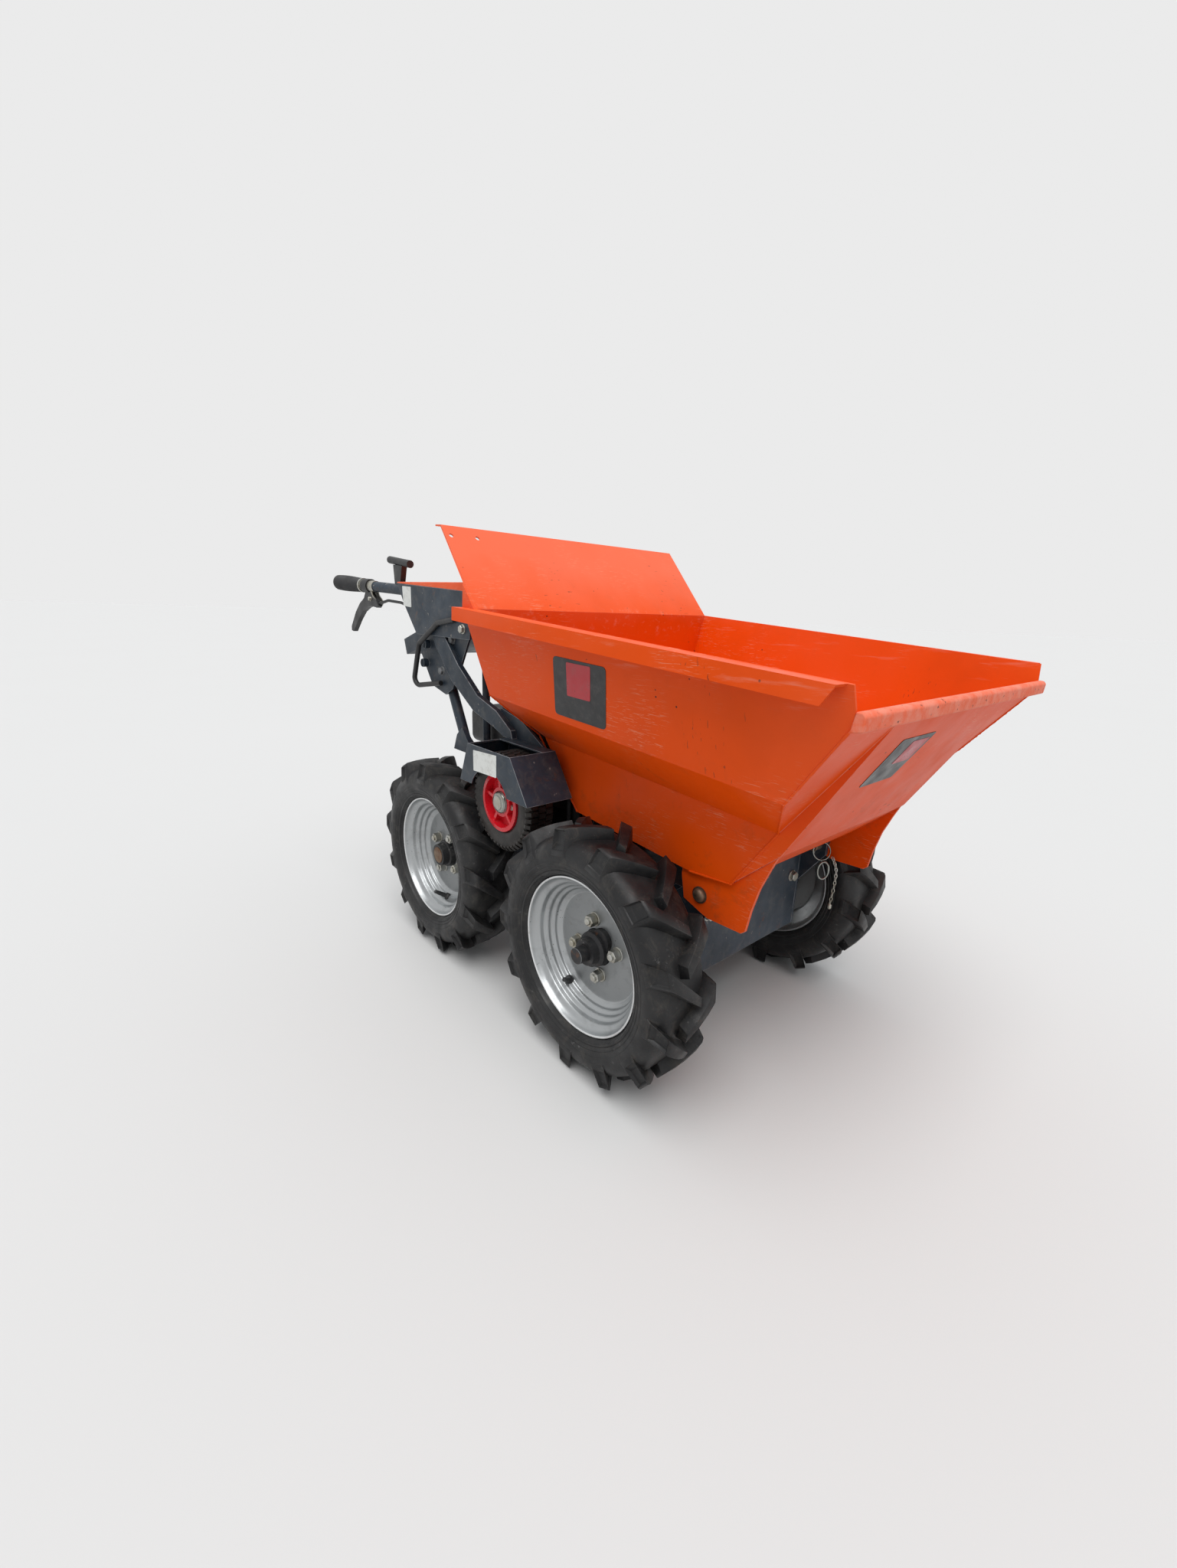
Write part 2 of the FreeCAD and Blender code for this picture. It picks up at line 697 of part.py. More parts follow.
def rim_flange(side):
    """The folded rim flange, and the web that ties it to the back plate."""
    inner, outer = rim_half - skin, rim_half + FLANGE_REACH
    start, end = FLANGE_ENDS
    section = [
        (inner, 0),
        (outer, 0),
        (outer, -FLANGE_DROP),
        (outer - skin, -FLANGE_DROP),
        (outer - skin, -skin),
        (inner, -skin),
    ]
    flange = slab([(side * half, w) for half, w in section], start, end, across="x")
    below = -FLANGE_DROP - 1
    corner_cut = slab([(end, 0), (end - FLANGE_CUT, below), (end + 1, below), (end + 1, 0)], -400, 400)
    web = slab([(0, 0), (start, -start), (start, -skin), (0, -skin)], side * inner, side * rim_half)
    return joined([flange.cut(corner_cut), web])


for node, faces in skip_faces.items():
    solid = folded_sheet(faces)
    if node == "skip_back_plate":
        solid = back_plate_extras(solid)
    if node.startswith("skip_side"):
        side = faces[0][0][1]
        solid = joined([solid, rear_corner(side), rim_flange(side)])
    if node == "skip_rear":
        for side_name, side in SIDES:
            solid = solid.cut(rear_corner(side)).cut(rim_flange(side))
    place_skip(shaped(node, solid))

nose_top, nose_toe = corner_point(("nose_top", 1)), corner_point(("nose_toe", 1))
nose_run = (nose_top.x - nose_toe.x) / (nose_top.z - nose_toe.z)
lip = plate("skip_lip", [
    (724, -46),
    (724 - 4 * nose_run, -50),
    (738, -46),
    (738, -30),
    (734, -26),
    (726, -26),
], 2 * (rim_half - lean * 26))
place_skip(lip)

bracket_outline = [from_skip(u, w) for u, w in (
    (450, floor_w),
    (470, floor_w),
    (548, -340),
    (612, -340 + 73 * 64 / 67),
)] + [
    (531, 448),
    (517, 412),
    (507, 372),
    (501, 336),
    (494, 330),
    (px + 18, pz - 34),
    (px + 5, pz - 30),
    (380, 345),
    (372, 385),
]
pivot_eye = (px, pz, pin + RUNNING_GAP)
for side_name, side in SIDES:
    bracket = plate("skip_bracket_" + side_name, bracket_outline, "bracket_sheet", circles=[pivot_eye])
    place(bracket, 0, side * dim("bracket_plane"), 0)

# Engine, its shaft running forward into the gearbox

crank_z = dim("crank_height")
deck_top = DECK_Z + dim("rail_sheet") / 2
FIN_COUNT = 7
FIN_STEP = 9
FIN_SHEET = 4
engine_parts = [
    block((-330, -172), (-70, 70), (deck_top + 8, 428)),
    block((-340, -165), (-88, 88), (deck_top, deck_top + 10)),
    rod((-174, 0, crank_z), (-158, 0, crank_z), 64),
    rod((-160, 0, crank_z), (-140, 0, crank_z), 24),
    block((-306, -214), (60, 132), (340, 438)),
    block((-296, -224), (130, 146), (350, 430)),
    block((-240, -200), (70, 120), (436, 452)),
    block((-270, -200), (-100, -66), (356, 420)),
    block((-308, -196), (-146, -98), (346, 448)),
    block((-300, -204), (-40, 30), (426, 462)),
]
for k in range(FIN_COUNT):
    y = 74 + k * FIN_STEP
    engine_parts.append(block((-322, -198), (y, y + FIN_SHEET), (326, 444)))
for k in range(4):
    x = -300 + 28 * k
    engine_parts.append(block((x, x + 5), (-76, 76), (deck_top + 8, 420)))
place(shaped("engine_block", joined(engine_parts)))


def soft_box(x, y, z, radius):
    box = block(x, y, z)
    return box.makeFillet(radius, box.Edges)


tank_top = 552
tank = joined([
    soft_box((-388, -142), (-148, 58), (462, tank_top), 20),
    rod((-215, -60, tank_top - 6), (-215, -60, tank_top + 6), 30),
    rod((-215, -60, tank_top + 4), (-215, -60, tank_top + 18), 26),
])
place(shaped("fuel_tank", tank))

COVER_RADIUS = 92
SLOT_COUNT = 14
cover_face = -372
cover_back = -330
cover_depth = cover_back - cover_face
face_middle = Vector(cover_face, 0, crank_z)
cover = joined([
    Part.makeCone(COVER_RADIUS - 14, COVER_RADIUS, cover_depth, face_middle, Vector(1, 0, 0)),
    rod((cover_face - 14, 0, crank_z), (cover_face + 4, 0, crank_z), 48),
    block((cover_back - 22, cover_back), (-COVER_RADIUS, COVER_RADIUS), (290, 400)),
    block((cover_face - 12, cover_face + 6), (8 - COVER_RADIUS, 44 - COVER_RADIUS), (crank_z - 12, crank_z + 12)),
])
cover = cover.common(block((-400, cover_back), (-COVER_RADIUS, COVER_RADIUS), (deck_top + 12, 461)))
slots = []
for k in range(SLOT_COUNT):
    angle = math.radians(360 / SLOT_COUNT * (k + 0.5))
    way = Vector(0, math.cos(angle), math.sin(angle))
    aside = Vector(0, -way.z, way.y)
    start = Vector(cover_face - 1, 0, crank_z)
    corners = [start + way * reach + aside * off for reach, off in ((53, -3), (70, -4), (70, 4), (53, 3))]
    slots.append(flat_face(corners).extrude(Vector(8, 0, 0)))
place(shaped("recoil_cover", cover.cut(Part.makeCompound(slots))))

muffler_parts = [soft_box((-330, -184), (66, 146), (452, 536), 14)]
for k in range(6):
    x = -312 + 22 * k
    muffler_parts.append(block((x, x + 8), (72, 140), (534, 540)))
muffler_parts.append(rod((-186, 106, 500), (-160, 106, 500), 11))
place(shaped("muffler", joined(muffler_parts)))

gear_parts = [
    block((-75, 35), (-78, 78), (deck_top + 6, 450)),
    block((-95, 55), (-92, 92), (deck_top, deck_top + 10)),
    rod((-100, 0, crank_z), (-70, 0, crank_z), 44),
    rod((-140, 0, crank_z), (-96, 0, crank_z), 30),
    rod((0, -SHAFT_START + 1, drive_z), (0, SHAFT_START - 1, drive_z), 34),
    block((-55, 15), (-60, 60), (448, 458)),
    rod((-20, 0, 456), (-20, 0, 470), 12),
]
for x in (-62, -28, 20):
    gear_parts.append(block((x, x + 6), (-84, 84), (deck_top + 6, 440)))
place(shaped("gearbox", joined(gear_parts)))

# Guards over the drive wheels, the plates that carry them, and the control arms

GUARD_TOP, GUARD_LOW = 535, 455
GUARD_TOP_X = (-73, 73)
GUARD_LOW_X = (-105, 127)
GUARD_SHELF = 30  # the top's strip along the inner wall
ARCH_RADIUS = 68
carrier_out = dim("carrier_plane") + dim("carrier_sheet") / 2
carrier_in = dim("carrier_plane") - dim("carrier_sheet") / 2
t = dim("guard_sheet")
guard_out = dim("guard_plane")
CARRIER_OUTLINE = [
    (-28, 240),
    (28, 240),
    (36, 400),
    (45, 455),
    (60, 520),
    (-40, 575),
    (-112, 590),
    (-120, 556),
    (-92, 530),
    (-80, 455),
]
ARM_OUTLINE = [
    (-404, 757),
    (-368, 700),
    (-298, 628),
    (-204, 572),
    (-124, 550),
    (-84, GUARD_TOP),
    (-52, GUARD_TOP),
    (-58, 552),
    (-112, 585),
    (-185, 607),
    (-265, 665),
    (-335, 735),
    (-358, 762),
]
for side_name, side in SIDES:
    outline = [
        (GUARD_LOW_X[0], GUARD_LOW),
        (GUARD_TOP_X[0], GUARD_TOP),
        (GUARD_TOP_X[1], GUARD_TOP),
        (GUARD_LOW_X[1], GUARD_LOW),
    ]
    run_back = (GUARD_TOP_X[0] - GUARD_LOW_X[0]) / (GUARD_TOP - GUARD_LOW)
    run_front = (GUARD_LOW_X[1] - GUARD_TOP_X[1]) / (GUARD_TOP - GUARD_LOW)
    hollow_outline = [
        (GUARD_LOW_X[0] - 10 * run_back + t, GUARD_LOW - 10),
        (GUARD_TOP_X[0] - t * run_back + t, GUARD_TOP - t),
        (GUARD_TOP_X[1] + t * run_front - t, GUARD_TOP - t),
        (GUARD_LOW_X[1] + 10 * run_front - t, GUARD_LOW - 10),
    ]
    inner_y, outer_y = side * carrier_out, side * guard_out
    shell = slab(outline, inner_y, outer_y)
    hollow = slab(hollow_outline, inner_y + side * t, outer_y - side * t)
    window = [
        (GUARD_TOP_X[0] + t, GUARD_TOP - 2 * t),
        (GUARD_TOP_X[0] + t, GUARD_TOP + 1),
        (GUARD_TOP_X[1] - t, GUARD_TOP + 1),
        (GUARD_TOP_X[1] - t, GUARD_TOP - 2 * t),
    ]
    opening = slab(window, inner_y + side * GUARD_SHELF, outer_y - side * t)
    arch = rod((0, outer_y - 10, drive_z), (0, outer_y + 10, drive_z), ARCH_RADIUS)
    shaft_slot = block((-20, 20), sorted((inner_y - side, inner_y + side * 5)), (400, 466))
    guard = shell.cut(hollow).cut(opening).cut(arch).cut(shaft_slot)
    place(shaped("wheel_guard_" + side_name, guard))
    foot = block((-25, 25), sorted((side * outer_rail, side * (carrier_in + 1))), (244, 292))
    web = slab(CARRIER_OUTLINE, side * carrier_in, side * carrier_out)
    bearing = rod((0, side * (carrier_in - 16), drive_z), (0, side * (carrier_out + 6), drive_z), 24)
    shaft_hole = rod((0, side * 150, drive_z), (0, side * 260, drive_z), dim("shaft_radius") + RUNNING_GAP)
    place(shaped("drive_carrier_" + side_name, joined([web, foot, bearing]).cut(shaft_hole)))
    arm = plate("control_arm_" + side_name, ARM_OUTLINE, "arm_bar")
    place(arm, 0, side * (carrier_out + dim("arm_bar") / 2), 0)

# Console: two side plates and the plates below them, a lid, and a floor with its rear channel

CONSOLE_SIDE = [(-549, 839), (-515, 790), (-454, 722), (-205, 722), (-200, 819)]
GUSSET = [
    (-478, 690), (-470, 679), (-414, 603), (-349, 588), (-316, 604),
    (-284, 647), (-234, 727), (-228, 760), (-440, 760), (-478, 716),
]
GUSSET_SPACERS = [(-424, 700), (-436, 655), (-250, 745)]
SPACER_RADIUS = 10
LID_BACK, LID_FRONT = (-549, 842), (-200, 838)
FLOOR_Z = 722
side_in = dim("console_half") - dim("console_sheet") / 2
side_out = dim("console_half") + dim("console_sheet") / 2
for side_name, side in SIDES:
    parts = [
        slab(CONSOLE_SIDE, side * side_in, side * side_out),
        slab(GUSSET, side * carrier_in, side * carrier_out),
    ]
    for x, z in GUSSET_SPACERS:
        parts.append(rod((x, side * (carrier_out - 1), z), (x, side * (side_in + 1), z), SPACER_RADIUS))
    place(shaped("console_side_" + side_name, joined(parts)))

rise, flare = math.radians(dim("handle_rise")), math.radians(dim("handle_flare"))
HANDLE_START = (-330, 195.3, 810.2)  # inside the console
HANDLE_RUN = 559
handle_bars = {}
for side_name, side in SIDES:
    way = Vector(-math.cos(flare) * math.cos(rise), side * math.sin(flare) * math.cos(rise), math.sin(rise))
    start = Vector(HANDLE_START[0], side * HANDLE_START[1], HANDLE_START[2])
    end = start + way * HANDLE_RUN
    bar = Part.makeCylinder(dim("handle_radius"), HANDLE_RUN - 4, start, way)
    handle_bars[side_name] = (start, way)
    place(shaped("handlebar_" + side_name, bar))
    grip_start = end - way * dim("grip_length")
    grip = joined([
        Part.makeCylinder(dim("grip_radius"), dim("grip_length"), grip_start, way),
        Part.makeCylinder(dim("grip_radius") + 4, 6, grip_start, way),
    ]).cut(Part.makeCylinder(dim("handle_radius"), dim("grip_length") - 4, grip_start, way))
    place(shaped("grip_" + side_name, grip))

hole_radius = dim("handle_radius") + RUNNING_GAP
handle_holes = Part.makeCompound([
    Part.makeCylinder(hole_radius, HANDLE_RUN, start, way) for start, way in handle_bars.values()
])
wedge = [(-549, 839), (-200, 819), LID_FRONT, LID_BACK]
lid = [slab(wedge, side * side_in, side * side_out) for side_name, side in SIDES]
lid.append(slab([(-549, 839), (-200, 835), LID_FRONT, LID_BACK], -side_out, side_out))
lid.append(slab([(-203, FLOOR_Z + 3), (-200, FLOOR_Z + 3), (-200, 836), (-203, 836)], -side_in, side_in))
place(shaped("console_top", joined(lid)))

LEVER_OUTLINE = [
    (-706, 822), (-690, 806), (-664, 795), (-655, 783), (-664, 778), (-700, 782), (-728, 778), (-762, 766),
    (-796, 744), (-838, 710), (-852, 712), (-851, 724), (-812, 764), (-778, 788), (-748, 801), (-730, 822),
]
LEVER_HALF = 6
CLAMP_HALF = 14
levers = []
for side_name, side in SIDES:
    start, way = handle_bars[side_name]
    clamp_middle = start + way * 398
    plane = clamp_middle.y
    tube = Part.makeCylinder(dim("handle_radius") + RUNNING_GAP, 80, clamp_middle - way * 40, way)
    clamp = Part.makeCylinder(18, 2 * CLAMP_HALF, clamp_middle - way * CLAMP_HALF, way)
    lever = slab(LEVER_OUTLINE, plane - LEVER_HALF, plane + LEVER_HALF)
    cable = bent_rod([
        (-668, plane, 787),
        (-610, plane - side * 3, 797),
        (-560, plane - side * 14, 793),
        (-470, side * (side_in - 4), 780),
    ], 30, 3.5)
    levers.append(joined([clamp, lever, cable]).cut(tube))
place(shaped("brake_levers", Part.makeCompound(levers)))

REAR_WALL = [(-549, 838.9), (-515, 790), (-454, 722), (-450, 722), (-511.6, 791), (-545.4, 838.9)]
CHANNEL = [(-605, 701), (-525, 725), (-480, 751), (-455, 723), (-500, 695), (-541, 677), (-593, 663)]
CHANNEL_HALF = 212
wall_top = block((-560, -440), (-side_in, side_in), (765, 839))
wall_low = block((-560, -440), (-carrier_in, carrier_in), (720, 765))
rear_wall = slab(REAR_WALL, -side_in, side_in).common(Part.makeCompound([wall_top, wall_low]))
floor_parts = [
    block((-451, -203), (-carrier_in, carrier_in), (FLOOR_Z, FLOOR_Z + 3)),
    *rear_wall.Solids,
    slab(CHANNEL, -CHANNEL_HALF, CHANNEL_HALF),
]
place(shaped("console_floor", joined(floor_parts).cut(handle_holes).cut(levers)))

# Tubes that hold the console up from the rails

TUBE_RADIUS = 12
POST_RADIUS = 9
POST_X = -286
POST_FOOT = 300  # the rail's top
STRUT_EAR = [(-322, 463), (-262, 463), (-252, 486), (-282, 520), (-306, 500)]
for side_name, side in SIDES:
    tube_in = side * (carrier_in - TUBE_RADIUS)
    tube_low = side * (outer_rail + TUBE_RADIUS)
    strut = bent_rod([
        (-362, tube_in, 625),
        (-292, tube_in, 490),
        (-215, tube_low, 380),
        (-215, tube_low, 250),
    ], 40, TUBE_RADIUS)
    ear = slab(STRUT_EAR, side * (carrier_in - 8), side * (carrier_in + 3))
    post_y = side * dim("rail_plane")
    post = rod((POST_X, post_y, POST_FOOT), (POST_X, post_y, FLOOR_Z), POST_RADIUS)
    place(shaped("support_tube_" + side_name, Part.makeCompound([strut.fuse(ear), post])))

# The tee lever and the hand loop, on the right

start, way = handle_bars["right"]
stem_foot = start + way * 246
tee_y = stem_foot.y
stem = slab([(-590, 836), (-560, 836), (-545, 880), (-595, 884)], tee_y - 7, tee_y + 7)
tee = joined([rod((-626, tee_y, 897), (-512, tee_y, 883), 9), stem])
tee = tee.cut(Part.makeCylinder(dim("handle_radius"), HANDLE_RUN, start, way))
LOOP_Y = -(side_out + 6)
loop = bent_rod([
    (-258, LOOP_Y, 762),
    (-333, LOOP_Y, 752),
    (-430, LOOP_Y, 701),
    (-470, LOOP_Y, 597),
    (-360, -(carrier_out + 6), 614),
], 16, 6)
place(shaped("hand_levers", Part.makeCompound([tee, loop])))

doc.recompute()

for item in doc.Objects:
    if "Invalid" in item.State or "Error" in item.State:
        raise RuntimeError("%s failed: %s" % (item.Label, item.State))
os.makedirs("parts", exist_ok=True)
for label, piece in PIECES.items():
    shape = piece.Shape
    if shape.isNull() or not shape.isValid() or not shape.Solids:
        raise RuntimeError("%s has no valid solid" % label)
    shape.exportStep(os.path.join("parts", label + ".step"))
    print("%-26s %d solid(s) %10.0f mm3" % (label, len(shape.Solids), shape.Volume))
whole = Part.makeCompound([piece.Shape for piece in PIECES.values()]).BoundBox
print("box", [round(v, 2) for v in (whole.XMin, whole.XMax, whole.YMin, whole.YMax, whole.ZMin, whole.ZMax)])
print(len(PIECES), "pieces")
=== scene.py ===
"""Site dumper: the finishes and small fittings of a walk-behind mini dumper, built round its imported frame."""

import json
import math
import random

import bmesh
import bpy
from mathutils import Matrix, Vector


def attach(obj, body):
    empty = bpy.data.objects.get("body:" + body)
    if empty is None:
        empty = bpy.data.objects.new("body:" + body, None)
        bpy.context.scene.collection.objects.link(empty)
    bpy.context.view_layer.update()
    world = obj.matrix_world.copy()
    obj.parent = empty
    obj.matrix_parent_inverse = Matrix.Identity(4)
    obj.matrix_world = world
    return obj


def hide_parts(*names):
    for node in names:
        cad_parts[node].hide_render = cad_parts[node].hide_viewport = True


bl_info = {
    "name": "Site dumper looks",
    "version": (1, 0, 0),
    "blender": (4, 5, 0),
    "location": "3D View > Sidebar > Dumper",
    "description": "Dresses the packed site dumper with paint, rubber, fasteners and plates",
    "category": "Object",
}

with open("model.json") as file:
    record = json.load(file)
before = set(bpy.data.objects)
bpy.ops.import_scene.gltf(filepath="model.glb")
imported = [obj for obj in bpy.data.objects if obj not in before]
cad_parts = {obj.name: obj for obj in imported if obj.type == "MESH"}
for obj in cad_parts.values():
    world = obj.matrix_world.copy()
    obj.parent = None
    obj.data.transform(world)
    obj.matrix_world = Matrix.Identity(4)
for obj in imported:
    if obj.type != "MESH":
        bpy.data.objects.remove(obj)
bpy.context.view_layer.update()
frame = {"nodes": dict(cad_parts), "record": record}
NODES = frame["nodes"]
SIDES = (("right", -1), ("left", 1))
ENDS = (("front", 1), ("rear", -1))
PHOTO_LONG_SIDE = 2048
MM = 0.001
WHEEL_MID = 100.56
AXLE_X = 265
AXLE_Z = 227.5
TYRE_PLANE = 288
DRIVE_Z = 427.5
DRIVE_PLANE = 279
SKIP_FOLD = (-49, 786)
SKIP_PITCH = math.radians(4.4)
RIM_LEVEL = 0.790  # the skip's rim over the frame's origin, in metres


def spot(x, y, z):
    """A place in metres, from millimetres ahead of the middle of the wheelbase."""
    return Vector(((x + WHEEL_MID) * MM, y * MM, z * MM))


def skip_spot(u, y, w):
    """A place in metres, from millimetres along the skip's rim, across, and up from it."""
    x = SKIP_FOLD[0] + u * math.cos(SKIP_PITCH) + w * math.sin(SKIP_PITCH)
    z = SKIP_FOLD[1] - u * math.sin(SKIP_PITCH) + w * math.cos(SKIP_PITCH)
    return spot(x, y, z)


# Settings

class DumperPaint(bpy.types.PropertyGroup):
    orange: bpy.props.FloatVectorProperty(
        name="Skip paint", description="Orange of the skip", subtype="COLOR",
        default=(0.77, 0.074, 0.0015), min=0, max=1,
    )
    slate: bpy.props.FloatVectorProperty(
        name="Frame paint", description="Blue-grey of the frame, guards and console", subtype="COLOR",
        default=(0.0150, 0.0235, 0.0345), min=0, max=1,
    )
    silver: bpy.props.FloatVectorProperty(
        name="Rim paint", description="Silver of the wheel rims", subtype="COLOR",
        default=(0.40, 0.415, 0.42), min=0, max=1,
    )
    red: bpy.props.FloatVectorProperty(
        name="Drive hub paint", description="Red of the drive wheel hubs", subtype="COLOR",
        default=(0.62, 0.010, 0.020), min=0, max=1,
    )


class DumperWear(bpy.types.PropertyGroup):
    # This also sets how strong the painted sheen high on the skip is.
    fade: bpy.props.FloatProperty(
        name="Fade", description="How far the orange has faded in patches", default=0.35, min=0, max=1,
    )
    scratches: bpy.props.FloatProperty(
        name="Scratches", description="How plainly scratches show in the orange", default=0.6, min=0, max=1,
    )
    dust: bpy.props.FloatProperty(
        name="Dust", description="How much dust lies on the frame and the tyres", default=0.5, min=0, max=1,
    )


class DumperTread(bpy.types.PropertyGroup):
    lugs: bpy.props.IntProperty(
        name="Lugs", description="Lugs on each half of a road tyre", default=13, min=6,
    )
    lag: bpy.props.FloatProperty(
        name="Lag", description="A lug's shoulder trails its middle by this angle", subtype="ANGLE",
        default=math.radians(13),
    )
    edge: bpy.props.FloatProperty(
        name="Lug edge", description="Rounding of a lug's edges", unit="LENGTH", default=0.0009, min=0,
    )
    drive_blocks: bpy.props.IntProperty(
        name="Drive tread", description="Rows of blocks round a drive wheel", default=46, min=12,
    )


class DumperView(bpy.types.PropertyGroup):
    eye: bpy.props.FloatVectorProperty(
        name="Camera", description="Where the camera stands", subtype="TRANSLATION", unit="LENGTH",
        default=(1.0496, -0.9200, 0.7935),
    )
    look: bpy.props.FloatVectorProperty(
        name="Look", description="The way the camera points", subtype="DIRECTION",
        default=(-0.7197, 0.6363, -0.2778),
    )
    right: bpy.props.FloatVectorProperty(
        name="Right", description="The picture's way to the right", subtype="DIRECTION",
        default=(0.6546, 0.7552, 0.0338),
    )
    focal_pixels: bpy.props.FloatProperty(
        name="Focal length", description="In pixels of a picture 2048 pixels tall", default=790, min=100,
    )
    sensor: bpy.props.FloatProperty(
        name="Sensor", description="Long side of the sensor, in millimetres", default=36, min=1,
    )
    floor_half: bpy.props.FloatProperty(
        name="Floor", description="Half the floor's side", unit="LENGTH", default=60, min=1,
    )


# Finishes

def dimmed(colour, share):
    return tuple(c * share for c in colour)


class Finish:
    """A material under construction; most calls add nodes and give back the socket to use next."""

    def __init__(self, name, colour):
        self.material = bpy.data.materials.new(name)
        self.material.use_nodes = True
        self.tree = self.material.node_tree
        self.shader = self.tree.nodes["Principled BSDF"]
        self.place = self.tree.nodes.new("ShaderNodeTexCoord").outputs["Object"]
        self.colour = colour

    def feed(self, socket, value):
        if isinstance(value, bpy.types.NodeSocket):
            self.tree.links.new(value, socket)
        elif isinstance(value, tuple) and len(value) == 3 and len(socket.default_value) == 4:
            socket.default_value = (*value, 1)
        else:
            socket.default_value = value

    def stretched(self, x, y, z, turn):
        """The place scaled by x, y and z and turned by degrees, for noise in streaks."""
        node = self.tree.nodes.new("ShaderNodeMapping")
        self.feed(node.inputs["Vector"], self.place)
        node.inputs["Rotation"].default_value = [math.radians(angle) for angle in turn]
        node.inputs["Scale"].default_value = (x, y, z)
        return node.outputs["Vector"]

    def noise(self, scale, detail=4, rough=0.55, twist=0, place=None):
        node = self.tree.nodes.new("ShaderNodeTexNoise")
        self.feed(node.inputs["Vector"], place or self.place)
        sockets = {"Scale": scale, "Detail": detail, "Roughness": rough, "Distortion": twist}
        for name, number in sockets.items():
            node.inputs[name].default_value = number
        return node.outputs["Fac"]

    def cells(self, scale):
        node = self.tree.nodes.new("ShaderNodeTexVoronoi")
        self.feed(node.inputs["Vector"], self.place)
        node.inputs["Scale"].default_value = scale
        return node.outputs["Distance"]

    def span(self, value, low, high, start=0, end=1):
        """Start at low, end at high, and held beyond them."""
        node = self.tree.nodes.new("ShaderNodeMapRange")
        sockets = {"Value": value, "From Min": low, "From Max": high, "To Min": start, "To Max": end}
        for name, number in sockets.items():
            self.feed(node.inputs[name], number)
        return node.outputs["Result"]

    def mottle(self, grain, low, high, start=0, end=1):
        """Patches of noise; grain holds what noise takes, in its order."""
        return self.span(self.noise(*grain), low, high, start, end)

    def sums(self, operation, a, b):
        node = self.tree.nodes.new("ShaderNodeMath")
        node.operation = operation
        self.feed(node.inputs[0], a)
        self.feed(node.inputs[1], b)
        return node.outputs[0]

    def both(self, a, b):
        """Where a and b meet."""
        return self.sums("MULTIPLY", a, b)

    def axis(self, name):
        """One of the place's three measures, in metres."""
        node = self.tree.nodes.new("ShaderNodeSeparateXYZ")
        self.feed(node.inputs[0], self.place)
        return node.outputs[name]

    def above_rim(self):
        """How high the place is above the skip's sloping rim, in metres."""
        drop = self.both(self.axis("X"), math.tan(SKIP_PITCH))
        return self.sums("SUBTRACT", self.sums("ADD", self.axis("Z"), drop), RIM_LEVEL)

    def coat(self, share, tone):
        """Lays a tone over the colour so far, as far as share says."""
        node = self.tree.nodes.new("ShaderNodeMix")
        node.data_type = "RGBA"
        for number, value in ((0, share), (6, self.colour), (7, tone)):
            self.feed(node.inputs[number], value)
        self.colour = node.outputs[2]

    def bump(self, value, strength, distance, under=None):
        node = self.tree.nodes.new("ShaderNodeBump")
        node.inputs["Strength"].default_value = strength
        node.inputs["Distance"].default_value = distance
        self.feed(node.inputs["Height"], value)
        if under is not None:
            self.feed(node.inputs["Normal"], under)
        return node.outputs["Normal"]

    def done(self, roughness, normal=None, specular=0.5, metallic=0.0):
        self.feed(self.shader.inputs["Base Color"], self.colour)
        self.feed(self.shader.inputs["Roughness"], roughness)
        if normal is not None:
            self.feed(self.shader.inputs["Normal"], normal)
        self.shader.inputs["Specular IOR Level"].default_value = specular
        self.shader.inputs["Metallic"].default_value = metallic
        return self.material


